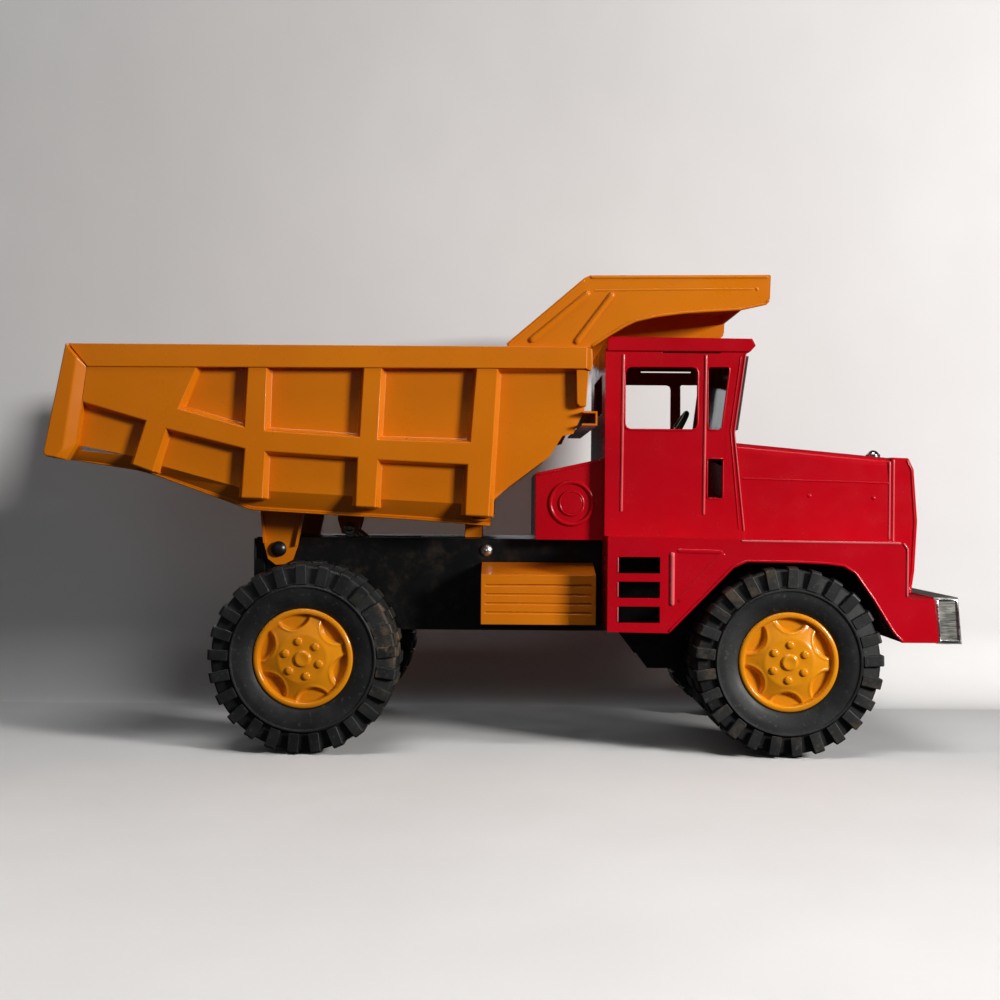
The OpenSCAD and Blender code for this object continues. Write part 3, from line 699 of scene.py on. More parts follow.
def loft_plate(name, outer, holes, levels, side, base, mat, radius=0.0, foot=-3.6, back=-0.7):
    outer_p = [(x, z) for x, z, f in outer]
    outer_f = [f for x, z, f in outer]
    if area2(outer_p) < 0:
        raise ValueError("outline must run counter-clockwise")
    rad = []
    m = len(outer_p)
    for i in range(m):
        ff = {outer_f[i - 1], outer_f[i]}
        rad.append(1.0 if "E" in ff else (0.9 if "B" in ff else radius))
    po, fo = round_flagged(outer_p, outer_f, rad)
    hs = []
    for h in holes:
        hp = [(x, z) for x, z, f in h]; hf = [f for x, z, f in h]
        if area2(hp) > 0:      # holes run clockwise so that left is still the plate
            hp = hp[::-1]; hf = [hf[(len(hf) - 2 - k) % len(hf)] for k in range(len(hf))]
        hs.append(round_flagged(hp, hf, radius, 5))
    verts, faces = [], []
    prev = None
    rings = [(po, fo)] + hs
    caps = []
    for li, (dd, h) in enumerate(levels + [(levels[-1][0], None)]):
        cur = []
        for pts, fl in rings:
            o = edge_offset(pts, [dd[f] for f in fl])
            ids = []
            for k, (x, z) in enumerate(o):
                if h is None:
                    low = foot if "B" in (fl[k], fl[k - 1]) else back
                    hh = low
                else:
                    hh = h
                ids.append(len(verts))
                verts.append((x, side * (base + hh), z))
            cur.append((ids, o))
        if prev:
            for (a, _), (b, _) in zip(prev, cur):
                n = len(a)
                for k in range(n):
                    faces.append([a[k], a[(k + 1) % n], b[(k + 1) % n], b[k]])
        if li == 0 or li == len(levels):
            caps.append((cur, h))
        prev = cur
    for cur, h in caps:
        pts = []; idx = []; edges = []
        for ids, o in cur:
            s = len(pts); n = len(ids)
            pts += [Vector(p) for p in o]; idx += ids
            edges += [(s + k, s + (k + 1) % n) for k in range(n)]
        vo, eo, fo_, ov, oe, of = mg.delaunay_2d_cdt(pts, edges, [], 0, 1e-6, True)
        ring0 = cur[0][1]
        rest = [c[1] for c in cur[1:]]
        mapback = [idx[ids[0]] if ids else None for ids in ov]
        for i, mb in enumerate(mapback):
            if mb is None:
                j = min(range(len(pts)), key=lambda k: (pts[k] - vo[i]).length_squared)
                mapback[i] = idx[j]
        for f in fo_:
            c = sum((vo[i] for i in f), Vector((0, 0))) / 3
            if inside(c, ring0) and not any(inside(c, r) for r in rest):
                t = [mapback[i] for i in f]
                if len(set(t)) == 3:
                    faces.append(t)
    ob = obj_from(name, verts, faces)
    return finish_mesh(ob, mat, angle=40)


def bed_side(side, node, name):
    parts = []
    # base sheet: recess floors and the strip that leans in below the crease
    outer = list(SIDE_OUT)
    hts = [float(BOTTOM_H.get(i, 0)) for i in range(len(outer))]
    hts[8] = 0.0
    pts, hs, edges = [], [], []
    n = len(outer)
    for i, p in enumerate(outer):
        pts.append(Vector(p)); hs.append(hts[i]); edges.append((i, (i + 1) % n))
    s = len(pts)
    for k, p in enumerate(CREASE):
        pts.append(Vector(p)); hs.append(0.0)
        if k:
            edges.append((s + k - 1, s + k))
    s = len(pts)
    for k, p in enumerate(WEDGE):
        pts.append(Vector(p)); hs.append(0.0 if k < 3 else -1.2)
        edges.append((s + k, s + (k + 1) % len(WEDGE)))
    vo, eo, fo, ov, oe, of = mg.delaunay_2d_cdt(pts, edges, [], 0, 1e-6, True)
    vh = []
    for i, ids in enumerate(ov):
        if ids:
            vh.append(hs[ids[0]])
        else:
            j = min(range(len(pts)), key=lambda k: (pts[k] - vo[i]).length_squared); vh.append(hs[j])
    faces = []
    for f in fo:
        c = sum((vo[i] for i in f), Vector((0, 0))) / 3
        if inside(c, outer) and not inside(c, WEDGE):
            faces.append(list(f))
    verts = [(v.x, side * (76 + h), v.y) for v, h in zip(vo, vh)]
    sheet = obj_from(name + "_sheet", verts, faces)
    face_towards(sheet, (0, side, 0))
    finish_mesh(sheet, YELLOW, solid=1.15, angle=12)
    parts.append(sheet)
    parts.append(loft_plate(name + "_ribs", PLATE, HOLES, LEVELS, side, 76, YELLOW))
    # rolled rim band along the top, a touch proud of the ribs, mitred at the rear corner
    rim = [(-234.7, 218.9), (-224.3, 206.4), (-75, 206.9), (45.0, 207.3), (45.2, 219.1)]
    parts.append(frustum(name + "_rim", rim, rim, 82.9, 76.4, side, YELLOW, bevel=0.5, segs=3))
    # deep border along the rear edge, its inner face a long slope
    high = [(-235.4, 218.9), (-247.0, 159.7), (-245.6, 158.1), (-240.5, 157.4), (-236.6, 161.5), (-229.6, 211.5)]
    low = [(-235.4, 218.9), (-247.1, 159.5), (-245.6, 157.6), (-235.4, 155.9), (-229.8, 165.2), (-224.4, 206.3)]
    parts.append(frustum(name + "_border", low, low, 82.0, 75.6, side, YELLOW, bevel=0.25, segs=2))
    parts.append(frustum(name + "_border_top", high, low, 85.3, 81.9, side, YELLOW, bevel=0.7, segs=3))
    # raised post and the turned end of the rim at the front
    post = [(39.3, 206.9), (39.8, 188.6), (41.5, 187.0), (44.9, 187.2), (46.2, 206.9)]
    parts.append(frustum(name + "_post", post, post, 81.2, 75.2, side, YELLOW, bevel=0.5, segs=3))
    end = [(44.6, 218.9), (47.9, 218.0), (48.2, 209.0), (47.0, 206.2), (44.6, 207.0)]
    parts.append(frustum(name + "_rim_end", end, end, 82.3, 76.5, side, YELLOW, bevel=0.6, segs=3))
    ob = join(name, parts)
    stand_for(ob, "tipping_body", node)
    return ob


bed_side(-1, "bed_side_right", "bed_side_right_pressing")
bed_side(1, "bed_side_left", "bed_side_left_pressing")

# floor: one bent sheet with a strip along each side edge, seen from above and behind
FLOOR = [(-246.2, 158.4), (-236, 157.2), (-199.6, 151.7), (-191.4, 149.6), (-137.2, 130.4), (-44.9, 125.6), (-16, 123.3), (-6.6, 122.7)]


def bent_sheet(name, path, ys, mat, thick, up=(0, 0, 1), close=False):
    """A sheet that follows path (x, z) and spans the Y stations, with softened bends."""
    sm = []
    for i, p in enumerate(path):
        if 0 < i < len(path) - 1:
            a, b, c = Vector(path[i - 1]), Vector(p), Vector(path[i + 1])
            ta = min(2.6, 0.4 * (a - b).length); tc = min(2.6, 0.4 * (c - b).length)
            p0 = b + (a - b).normalized() * ta; p2 = b + (c - b).normalized() * tc
            for k in range(5):
                s = k / 4
                q = p0 * (1 - s) ** 2 + b * 2 * s * (1 - s) + p2 * s * s
                sm.append((q.x, q.y))
        else:
            sm.append(p)
    verts, faces = [], []
    for x, z in sm:
        for y in ys:
            verts.append((x, y, z))
    n = len(ys)
    for i in range(len(sm) - 1):
        for j in range(n - 1):
            faces.append([i * n + j, i * n + j + 1, (i + 1) * n + j + 1, (i + 1) * n + j])
    ob = obj_from(name, verts, faces, recalc=False)
    face_towards(ob, up)
    finish_mesh(ob, mat, solid=thick, angle=40)
    return ob


fl = bent_sheet("bed_floor_sheet", FLOOR, [-70.9, -69.9, -40, 0, 40, 69.9, 70.9], YELLOW, 1.3, up=(0, 0, -1))
# folded seam along the side edges of the floor
seams = [fl]
for s in (-1, 1):
    seams.append(bent_sheet("seam", [(x, z - 0.9) for x, z in FLOOR], [s * 68.9, s * 71.1] if s > 0 else [s * 71.1, s * 68.9], YELLOW, 0.9, up=(0, 0, -1)))
floor = join("bed_floor_sheet", seams)
stand_for(floor, "tipping_body", "bed_floor")

bulk = bent_sheet("bulkhead_sheet", [(-16, 124.9), (-8.2, 124.3), (-5.7, 135.1), (3.8, 144.1), (25.2, 160.5), (32.3, 171.5), (43.6, 185.6), (44.7, 206.8), (44.7, 218.6)],
                  [-74.6, -73, -30, 30, 73, 74.6], YELLOW, 1.2, up=(1, 0, -0.3))
stand_for(bulk, "tipping_body", "bed_bulkhead")

# ---------------------------------------------------------------- canopy
def canopy():
    parts = [dress_raw("canopy", YELLOW, 0.4, 2)]
    for s in (-1, 1):
        on = lambda u, v, h, s=s: (u, s * (80.05 + h), v)
        parts.append(bead("ridge", [(13.7, 221.7), (46.5, 249.2)], 3.6, 1.6, on, YELLOW, n=9, taper=2.2))
        parts.append(bead("ridge", [(38.4, 220.8), (59.4, 248.8)], 3.6, 1.6, on, YELLOW, n=9, taper=2.2))
        parts.append(bead("crease", [(48.5, 249.9), (90, 250.7), (135.1, 251.3)], 1.2, 0.35, on, YELLOW, n=7, taper=1.2))
        parts.append(dome("crease_end", (136.7, s * 79.95, 251.3), (0, s, 0), 1.1, 0.6, YELLOW, rings=5, segs=20))
        parts.append(bead("edge", [(46.6, 256.9), (142.8, 257.9)], 1.8, 0.7, on, YELLOW, n=7, taper=0.8))
        parts.append(bead("edge", [(2.2, 219.9), (43.6, 255.4)], 1.6, 0.55, on, YELLOW, n=7, taper=0.8))
        # rolled lower lip
        parts.append(bead("lip", [(47.6, 219.8), (57.2, 226.1), (64.8, 230.7), (71.2, 233.8), (82.1, 236.3), (97.4, 238.4), (128.3, 240.5), (141.6, 243.5), (143.4, 245.6)],
                          1.5, 0.8, on, YELLOW, n=7, taper=0.8))
    ob = join("canopy_pressing", parts)
    stand_for(ob, "tipping_body", "canopy")


def dress_raw(node, mat, bevel, segs=2, angle=28, name=None):
    src = frame["nodes"][node]
    me = src.data.copy()
    bm = bmesh.new()
    bm.from_mesh(me)
    bmesh.ops.remove_doubles(bm, verts=bm.verts, dist=2e-6)
    bmesh.ops.dissolve_limit(bm, angle_limit=math.radians(0.6), verts=bm.verts, edges=bm.edges)
    bmesh.ops.recalc_face_normals(bm, faces=bm.faces)
    bm.to_mesh(me)
    bm.free()
    ob = bpy.data.objects.new(name or node + "_raw", me)
    scene.collection.objects.link(ob)
    return finish_mesh(ob, mat, bevel=bevel, segs=segs, bevel_angle=angle)


canopy()
dress("bulkhead_channel", YELLOW, 0.3)
dress("hinge_bracket_right", YELLOW, 0.35)
dress("hinge_bracket_left", YELLOW, 0.35)
dress("lift_bracket", YELLOW, 0.3)
dress("rest_feet", YELLOW_BOX, 0.4)
dress("lift_pin", STEEL, 0.2)
dress("strut_rod", STEEL, 0.15)
dress("strut_cylinder", DARK, 0.3)

# ---------------------------------------------------------------- chassis
dress("chassis_frame", BLACK, 0.35)
dress("rear_end_plate", BLACK, 0.35)
dress("rear_axle_hanger", BLACK, 0.35)
dress("front_axle_hanger", BLACK, 0.35)
dress("hinge_pin", PIN, 0.15)
dress("hinge_spacers", BLACK, 0.3)
dress("chassis_screws", STEEL, 0.12)
dress("rear_axle", STEEL, 0.3)
dress("front_axle", STEEL, 0.3)
dress("axle_spacers", DARK, 0.3)
dress("axle_push_nuts", STEEL, 0.25)
dress("strut_anchor_pin", PIN, 0.3)
dress("side_box_right", YELLOW_BOX, 0.35)
dress("side_box_left", YELLOW_BOX, 0.35)

# ---------------------------------------------------------------- cab and front
def with_extras(node, mat, bevel, extras, name, segs=2, slot=None):
    ob = join(name, [dress_raw(node, mat, bevel, segs)] + extras)
    stand_for(ob, body_of(node), node)
    return ob


ex = []
for s in (-1, 1):
    on = lambda u, v, h, s=s: (u, s * (61.95 + h), v)
    # the door seams and the outer pillar seam are in the pale red: painted highlight along the beads
    ex.append(bead("seam", [(65.8, 130.1), (66.5, 217.6)], 1.6, 0.8, on, RED_PAINTED_HIGHLIGHT, taper=0.9))
    ex.append(bead("seam", [(111.4, 128.8), (112.1, 217.6)], 1.6, 0.8, on, RED_PAINTED_HIGHLIGHT, taper=0.9))
    ex.append(bead("seam", [(134.0, 218.0), (128.0, 174.5), (133.8, 120)], 1.1, 0.7, on, RED_PAINTED_HIGHLIGHT, taper=0.6))
    ex.append(bead("seam", [(131.4, 216.9), (125.9, 176), (131.0, 121)], 0.9, 0.45, on, RED, taper=0.6))
    # turned rims of the window openings and the handle slot
    for poly, w, h in (
            ([(67.2, 179), (67.2, 207.6), (68.4, 210), (70.4, 210.9), (104.6, 210.9), (106.9, 210), (107.8, 207.6), (107.8, 179), (106.9, 176.6), (104.6, 175.6), (70.4, 175.6), (68.2, 176.6), (67.2, 179)], 1.3, 0.55),
            ([(113.2, 177), (113.0, 209.8), (114, 211), (124.2, 211), (125.3, 209.6), (121.3, 177), (119.8, 175.7), (114.4, 175.7), (113.2, 177)], 1.1, 0.5),
            ([(113.2, 138), (113.2, 160.1), (122, 160.1), (122, 138), (113.2, 138)], 1.0, 0.5)):
        ex.append(bead("rim", poly, w, h, on, RED, n=7, taper=0.2))
with_extras("cab_shell", RED, 0.4, ex, "cab_shell_pressing", 2)
with_extras("cab_roof", RED, 0.45, [], "cab_roof_pressing", 3)
# cab floor in the darker red: painted shade for the inside of the cab
dress("cab_floor", RED_SHADED, 0.3)
dress("windshield_frame", PLASTIC, 0.3)
dress("windshield", TEAL, 0.2)
dress("steering_column", PLASTIC, 0.3)
dress("steering_wheel", GREEN, 0.3)


def bonnet():
    """Crowned sheet lofted from the raked rear edge to the front edge."""
    HT = [(-1, 159.5), (-0.993, 161.4), (-0.978, 162.9), (-0.955, 164.0), (-0.925, 164.7), (-0.88, 165.1), (-0.6, 165.7), (-0.3, 166.15), (0, 166.3)]
    HT = HT + [(-a, b) for a, b in HT[:-1]][::-1]
    rows = []
    xs = [0.0, 0.004, 0.05, 0.25, 0.5, 0.75, 0.93, 0.985, 1.0]
    prof = [(-60, 114.6), (-60, 128), (-60, 140), (-60, 147.6), (-60, 149.4), (-60, 154)] + [(a * 60, b) for a, b in HT] + \
           [(60, 154), (60, 149.4), (60, 147.6), (60, 140), (60, 128), (60, 114.6)]
    verts, faces = [], []
    def rear(z):
        return 134.62 - (z - 114.4) * 0.0993
    for t in xs:
        for y, z in prof:
            x0 = rear(z)
            x = x0 + (215.5 - x0) * t
            k = min(1.0, max(0.0, (z - 154) / 5.5))
            zz = z + (-0.0901 * (x - 175)) * k
            yy = y
            # side leans in a little above the crease
            if abs(y) > 59.9 and z >= 149.4:
                yy = y * (1 - 0.006 * min(1, (z - 149.4) / 6))
            if t in (0.985,):
                pass
            verts.append((x, yy, zz))
    n = len(prof)
    for i in range(len(xs) - 1):
        for j in range(n - 1):
            faces.append([i * n + j, i * n + j + 1, (i + 1) * n + j + 1, (i + 1) * n + j])
    ob = obj_from("bonnet_sheet", verts, faces, recalc=False)
    face_towards_point = Vector((175, 0, 130)) * MM
    me = ob.data
    s = sum(((p.center - face_towards_point).dot(p.normal) * p.area for p in me.polygons))
    if s < 0:
        me.flip_normals()
    finish_mesh(ob, RED, solid=1.1, angle=40)
    parts = [ob]
    for sd in (-1, 1):
        on = lambda u, v, h, sd=sd: (u, sd * (59.95 + h), v)
        parts.append(bead("crease", [(132.6, 149.2), (175, 148.2), (214.6, 147.2)], 1.0, 0.4, on, RED, taper=0.8))
        # the front edge bead is in the pale red: painted highlight
        parts.append(bead("edge", [(214.7, 116), (214.7, 159.4)], 1.2, 0.6, on, RED_PAINTED_HIGHLIGHT, taper=0.5))
        for x, z in ((170.3, 139.8), (205.9, 138.9)):
            parts.append(dome("pip", (x, sd * 59.9, z), (0, sd, 0), 1.25, 0.55, RED, rings=5, segs=20))
    ob = join("bonnet_pressing", parts)
    stand_for(ob, "chassis", "bonnet")


bonnet()


def radiator():
    parts = [dress_raw("radiator_shell", RED, 0.5, 3)]
    for sd in (-1, 1):
        on = lambda u, v, h, sd=sd: (u, sd * (58.95 + h), v)
        parts.append(bead("edge", [(224.4, 160.2), (227.0, 154.9), (229.0, 126.4), (227.7, 98.4), (225.9, 87)], 1.3, 0.6, on, RED, taper=0.7))
        # the inner front edge bead is in the pale red: painted highlight
        parts.append(bead("edge", [(217.2, 88), (217.2, 160.4)], 1.2, 0.6, on, RED_PAINTED_HIGHLIGHT, taper=0.7))
    ob = join("radiator_pressing", parts)
    stand_for(ob, "chassis", "radiator_shell")


radiator()
dress("radiator_grille", PLASTIC, 0.35)
dress("radiator_cap", CHROME, 0.35, 3)


def wing(side, node, name):
    parts = [dress_raw(node, RED, 0.4, 2)]
    on = lambda u, v, h: (u, side * (87.95 + h), v)
    # the rib, front, top and louvre-lip beads are in the pale red: painted highlight
    parts.append(bead("rib", [(91.2, 80.2), (91.2, 109.1)], 2.6, 1.2, on, RED_PAINTED_HIGHLIGHT, taper=1.2))
    parts.append(bead("tri", [(93.6, 109.7), (118.3, 109.2)], 2.4, 0.4, on, RED, taper=1.2))
    parts.append(bead("tri", [(119.0, 108.7), (94.4, 82.6)], 2.8, 0.4, on, RED, taper=1.2))
    # turned flange round the wheel arch
    arch = [(214.9, 61.9), (210.1, 67.1), (199.2, 84.7), (189.3, 98.7), (183.2, 102.5), (174, 103.7), (159.4, 104.3), (131.0, 104.6), (123.7, 101.4), (89.5, 66.3)]
    parts.append(bead("arch", arch, 1.5, 0.75, on, RED, n=7, taper=0.6))
    parts.append(bead("front", [(217.0, 86.0), (217.0, 111.6), (214.8, 114.8)], 1.3, 0.7, on, RED_PAINTED_HIGHLIGHT, taper=0.6))
    parts.append(bead("top", [(128.0, 115.3), (213.6, 114.7)], 1.3, 0.6, on, RED_PAINTED_HIGHLIGHT, taper=0.6))
    # the turned edge of each louvre slot
    for z in (71, 84.3, 97.5):
        parts.append(bead("lip", [(62.1, z + 8.4), (62.1, z + 0.4)], 0.9, 0.45, on, RED_PAINTED_HIGHLIGHT, taper=0.5))
    ob = join(name, parts)
    stand_for(ob, "chassis", node)


wing(-1, "wing_right", "wing_right_pressing")
wing(1, "wing_left", "wing_left_pressing")
dress("front_valance", RED, 0.4)


def bumper():
    parts = [dress_raw("bumper", BUMPER, 0.6, 3)]
    for sd in (-1, 1):
        on = lambda u, v, h, sd=sd: (u, sd * (85.95 + h), v)
        parts.append(bead("frame", [(233.6, 84.4), (244.0, 84.4), (245.6, 62.2), (235.2, 62.2), (233.6, 84.4)], 1.6, 0.6, on, CHROME, n=7, taper=0.3))
    ob = join("bumper_pressing", parts)
    stand_for(ob, "chassis", "bumper")


bumper()


def air_box():
    parts = [dress_raw("air_cleaner_box", RED, 0.45, 2)]
    for sd in (-1, 1):
        circ = lambda r, n=49: [(38.6 + r * math.cos(2 * math.pi * k / (n - 1)), 134.7 + r * math.sin(2 * math.pi * k / (n - 1))) for k in range(n)]
        on = lambda u, v, h, sd=sd: (u, sd * (54.95 + h), v)
        parts.append(bead("ring", circ(11.8), 2.4, 1.25, on, RED, n=9, taper=0.01))
        parts.append(bead("ring", circ(6.6), 1.6, 1.0, on, RED, n=7, taper=0.01))
        parts.append(bead("top", [(19.6, 150.3), (55.6, 158.5)], 1.2, 0.5, on, RED, taper=0.5))
    ob = join("air_cleaner_pressing", parts)
    stand_for(ob, "chassis", "air_cleaner_box")


air_box()

# ---------------------------------------------------------------- wheels
def tyre(x, side, node, name, mat, phase):
    prof = [(26.6, 56.2), (26.6, 90.6), (27.0, 91.9), (28.2, 92.7), (30, 93.3), (33, 94.1), (35.4, 94.5), (36.9, 94.5), (37.6, 94.6),
            (38.0, 95.3), (38.6, 95.4), (39.1, 95.0), (39.5, 94.2), (40.2, 92.9), (44, 92.4), (48.2, 91.8), (49.2, 90.8), (49.6, 89),
            (49.7, 72.5), (49.6, 57), (49.2, 55), (48.2, 54), (44, 53.4), (40.2, 52.9), (39.5, 51.6), (38.4, 50.1), (33, 51.6), (29, 53.4), (26.9, 55.2), (26.6, 56.2)]
    body = lathe(name + "_carcass", prof, x, side, mat, segs=144, angle=30)
    verts, faces = [], []
    N = 25
    for row in (0, 1):
        for k in range(N):
            a0 = 2 * math.pi * (k + 0.5 * row + phase) / N
            # sections from the tread centre out over the shoulder and down the wall
            if row == 0:
                sec = [(71.0, 47.6, 50.9), (74.0, 47.6, 51.0), (84, 47.6, 51.0), (90.0, 46.0, 51.0), (93.0, 43.0, 50.8), (94.6, 40.5, 50.3), (95.2, 39.5, 49.6)]
            else:
                sec = [(74.0, 47.6, 50.9), (71.0, 47.6, 51.0), (61, 47.6, 51.0), (55.0, 46.0, 51.0), (52.0, 43.0, 50.8), (50.4, 40.5, 50.3), (49.8, 39.5, 49.6)]
            base = len(verts)
            for i, (u, rb, rt) in enumerate(sec):
                ha = 2.8 / rt
                hb = 3.0 / rb
                skew = 0.0
                for rr, hw in ((rb, hb), (rt, ha)):
                    for sg in (-1, 1):
                        a = a0 + sg * hw + skew
                        verts.append((x + rr * math.cos(a), side * u, 51 + rr * math.sin(a)))
            m = len(sec)
            for i in range(m - 1):
                o, p = base + i * 4, base + (i + 1) * 4
                faces += [[o + 2, o + 3, p + 3, p + 2], [o, o + 2, p + 2, p], [o + 1, p + 1, p + 3, o + 3], [o, p, p + 1, o + 1]]
            faces.append([base, base + 1, base + 3, base + 2])
            e = base + (m - 1) * 4
            faces.append([e, e + 2, e + 3, e + 1])
    lugs = obj_from(name + "_lugs", verts, faces)
    att = lugs.data.attributes.new("lug", "FLOAT", "POINT")
    att.data.foreach_set("value", [1.0] * len(lugs.data.vertices))
    finish_mesh(lugs, mat, bevel=0.45, segs=2, bevel_angle=38)
    att = body.data.attributes.new("lug", "FLOAT", "POINT")
    vals = []
    for v in body.data.vertices:
        r = math.hypot(v.co.x - x * MM, v.co.z - 0.051) * 1000
        vals.append(0.6 if r > 45 else (0.12 if r > 38 else 0.03))
    att.data.foreach_set("value", vals)
    ob = join(name, [body, lugs])
    stand_for(ob, body_of(node), node)


def smooth(t):
    t = min(1.0, max(0.0, t))
    return t * t * (3 - 2 * t)


def disc(x, side, node, name, ang0):
    """Pressed disc with six scooped recesses and a raised centre, on a polar grid."""
    NA, rs = 216, []
    r = 0.0
    rs = [0.0, 1.2, 2.4, 3.2, 3.7, 4.1, 4.5, 5.0, 5.6, 6.4, 7.4, 8.6, 9.6, 10.6, 11.4, 12.0, 12.5, 13.0, 13.5, 14.0, 14.6, 15.2]
    rr = 15.8
    while rr < 23.2:
        rs.append(rr); rr += 0.42
    rs += [23.4, 23.7, 24.0, 24.3, 24.7, 25.1, 25.5, 25.9, 26.2, 26.45, 26.6]
    def height(r, a):
        # star arms that slope down from the centre to the rim
        arm = min(3.6, max(0.6, 3.6 - 3.0 * (r - 13.5) / 9.0))
        k = round((a - ang0) / (math.pi / 3))
        best = 99
        for kk in (k - 1, k, k + 1):
            c = ang0 + kk * math.pi / 3
            dx, dy = r * math.cos(a) - 25.2 * math.cos(c), r * math.sin(a) - 25.2 * math.sin(c)
            best = min(best, math.hypot(dx, dy))
        d = best - 8.9
        cup = smooth((0.75 - d) / 1.5)
        h = arm * (1 - cup) - 0.45 * cup
        h += 0.35 * math.exp(-((d - 0.9) / 0.7) ** 2) * smooth((23.0 - r) / 1.5)
        # centre disc
        c = smooth((13.9 - r) / 1.5)
        h = h * (1 - c) + (4.1 - 0.25 * (r / 13) ** 2) * c
        # boss
        b = smooth((4.6 - r) / 0.9)
        h += 1.2 * b
        # dished middle of the boss
        h -= 0.35 * smooth((2.6 - r) / 1.0)
        # rim roll
        rim = smooth((r - 22.9) / 1.0)
        if r > 22.9:
            t = (r - 24.9) / 1.75
            h = h * (1 - rim) + (1.9 + 1.15 * math.sqrt(max(0.0, 1 - min(1, abs(t)) ** 2))) * rim
        return h
    verts, faces = [], []
    verts.append((x, side * (90 + height(0, 0)), 51))
    for r in rs[1:]:
        for k in range(NA):
            a = 2 * math.pi * k / NA
            verts.append((x + r * math.cos(a), side * (90 + height(r, a)), 51 + r * math.sin(a)))
    for k in range(NA):
        faces.append([0, 1 + k, 1 + (k + 1) % NA])
    for i in range(len(rs) - 2):
        o, p = 1 + i * NA, 1 + (i + 1) * NA
        for k in range(NA):
            k2 = (k + 1) % NA
            faces.append([o + k, p + k, p + k2, o + k2])
    # barrel wall back to the drum
    last = 1 + (len(rs) - 2) * NA
    for u in (88.5, 80, 71.2):
        s = len(verts)
        for k in range(NA):
            a = 2 * math.pi * k / NA
            verts.append((x + 26.6 * math.cos(a), side * u, 51 + 26.6 * math.sin(a)))
        for k in range(NA):
            k2 = (k + 1) % NA
            faces.append([last + k, s + k, s + k2, last + k2])
        last = s
    ob = obj_from(name, verts, faces)
    face_ok = sum((p.normal.y * side) * p.area for p in ob.data.polygons)
    if face_ok < 0:
        ob.data.flip_normals()
    finish_mesh(ob, YELLOW_HUB, solid=0.7, angle=60, wn=False)
    parts = [ob]
    for k in range(6):
        a = ang0 + k * math.pi / 3
        c = (x + 9.4 * math.cos(a), side * (93.85), 51 + 9.4 * math.sin(a))
        parts.append(dome("nut", c, (0, side, 0), 2.15, 1.45, YELLOW_HUB, rings=6, segs=24, flat=0.5, rim=0.5))
    ob = join(name, parts)
    stand_for(ob, body_of(node), node)


for end, x in (("front", 153.0), ("rear", -105.6)):
    for sd, sn in ((-1, "right"), (1, "left")):
        mat = RUBBER_F if end == "front" else RUBBER_R
        tyre(x, sd, f"tyre_{end}_{sn}", f"tyre_{end}_{sn}_lugged", mat, 0.1 if end == "front" else 0.35)
        a0 = math.radians(27 if end == "front" else 43)
        disc(x, sd, f"wheel_disc_{end}_{sn}", f"wheel_disc_{end}_{sn}_pressing", a0)
        dress(f"wheel_drum_{end}_{sn}", BLACK, 0.3)

# ---------------------------------------------------------------- floor, light, camera
def paper(name, lift=1.0):
    m = Nodes(name)
    col = m.mix(m.step(m.noise(3.0, 4, 0.55), 0.35, 0.7), (0.80 * lift, 0.79 * lift, 0.785 * lift), (0.86 * lift, 0.855 * lift, 0.85 * lift))
    m.link(col, m.bsdf.inputs["Base Color"])
    m.link(m.maprange(m.noise(30, 3, 0.6), 0.3, 0.7, 0.6, 0.8), m.bsdf.inputs["Roughness"])
    m.set(Specular_IOR_Level=0.2)
    m.bump([(m.noise(4.5, 3, 0.5), 0.012, 0.35), (m.noise(400, 3, 0.6), 0.00008, 0.3)])
    return m


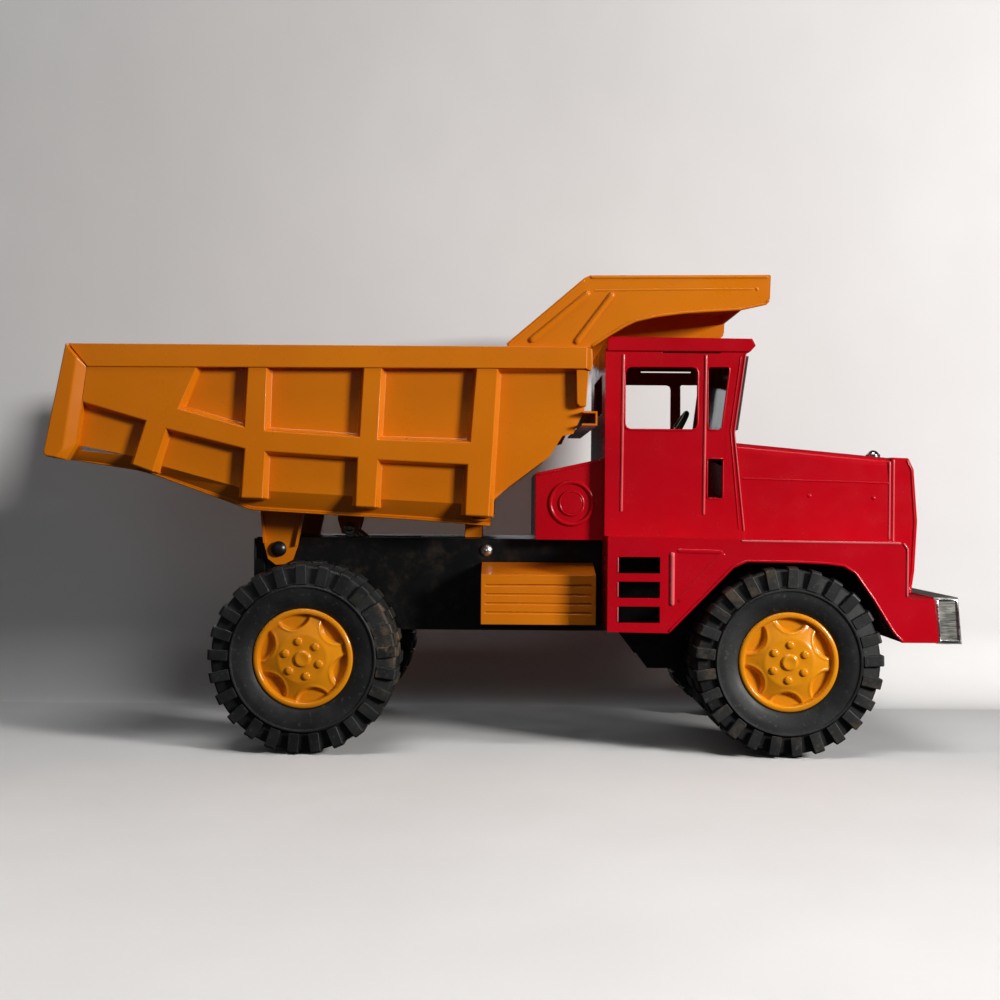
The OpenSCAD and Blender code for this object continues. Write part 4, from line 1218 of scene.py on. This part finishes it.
def stage():
    mats = {}
    for which, lift in (("stage_floor", 1.0), ("stage_wall", 1.12)):
        m = paper(which + "_paper", lift)
        # seen from behind the sheet is clear, so the back of the truck can be looked at
        g = m.add("ShaderNodeNewGeometry")
        tr = m.add("ShaderNodeBsdfTransparent")
        mx = m.add("ShaderNodeMixShader")
        m.link(g.outputs["Backfacing"], mx.inputs[0])
        m.link(m.bsdf.outputs[0], mx.inputs[1])
        m.link(tr.outputs[0], mx.inputs[2])
        m.link(mx.outputs[0], m.out.inputs[0])
        mats[which] = m.mat
    R, yc = 0.05, 0.094
    ground = [(-2.6, 0.0), (-1.2, 0.0), (-0.4, 0.0), (0.0, 0.0), (yc, 0.0)]
    wall = [(yc + R * math.sin(math.pi / 2 * k / 16), R - R * math.cos(math.pi / 2 * k / 16)) for k in range(17)]
    wall += [(yc + R, 0.5), (yc + R, 1.0), (yc + R, 2.4)]
    xs = [-2.6, -1.2, -0.4, 0, 0.4, 1.2, 2.6]
    for name, path in (("stage_floor", ground), ("stage_wall", wall)):
        verts, faces = [], []
        for y, z in path:
            for x in xs:
                verts.append((x * 1000, y * 1000, z * 1000))
        n = len(xs)
        for i in range(len(path) - 1):
            for j in range(n - 1):
                faces.append([i * n + j, i * n + j + 1, (i + 1) * n + j + 1, (i + 1) * n + j])
        ob = obj_from(name, verts, faces, recalc=False)
        face_towards(ob, (0, -1, 1))
        ob.data.materials.append(mats[name])
        ob.data.polygons.foreach_set("use_smooth", [True] * len(ob.data.polygons))
        ob.visible_shadow = False
        ob.visible_glossy = False
        ob.visible_diffuse = False


stage()


def area_light(name, loc, target, size, power, color=(1, 1, 1), size_y=None):
    d = bpy.data.lights.new(name, "AREA")
    d.shape = "RECTANGLE"
    d.size = size
    d.size_y = size_y or size
    d.energy = power
    d.color = color
    o = bpy.data.objects.new(name, d)
    o.location = loc
    o.rotation_euler = (Vector(target) - Vector(loc)).to_track_quat("-Z", "Y").to_euler()
    scene.collection.objects.link(o)
    return o


kd = Vector((0.75, -0.61, 0.25)).normalized()
area_light("key", tuple(kd * 1.5 + Vector((0.05, 0, 0.13))), (0.05, 0, 0.13), 0.28, 23.0, (1.0, 0.985, 0.965), 0.28)
area_light("fill", (-0.5, -1.9, 1.2), (0, 0, 0.1), 1.8, 1.9, (0.94, 0.97, 1.0))
top = area_light("top", (0.1, -0.72, 1.9), (0.1, -0.62, 0), 1.5, 3.2, (1.0, 0.99, 0.98), 0.6)
top.data.spread = math.radians(55)
area_light("rear", (-0.3, 1.7, 0.9), (0, 0, 0.12), 1.2, 3.5, (0.97, 0.98, 1.0))

w = bpy.data.worlds.new("studio")
scene.world = w
w.use_nodes = True
bg = w.node_tree.nodes["Background"]
bg.inputs[0].default_value = (0.93, 0.95, 1.0, 1)
bg.inputs[1].default_value = 0.03

cam_d = bpy.data.cameras.new("camera")
cam_d.sensor_width = 36
cam_d.lens = 51.6
cam_d.clip_start = 0.02
cam_d.clip_end = 20
cam = bpy.data.objects.new("camera", cam_d)
scene.collection.objects.link(cam)
cam.rotation_euler = (Matrix.Rotation(math.radians(90), 4, "X") @ Matrix.Rotation(math.radians(0.45), 4, "Z")).to_euler()
cam.location = (-0.0013, -0.855, 0.1362)
scene.camera = cam
scene.view_settings.view_transform = "Standard"
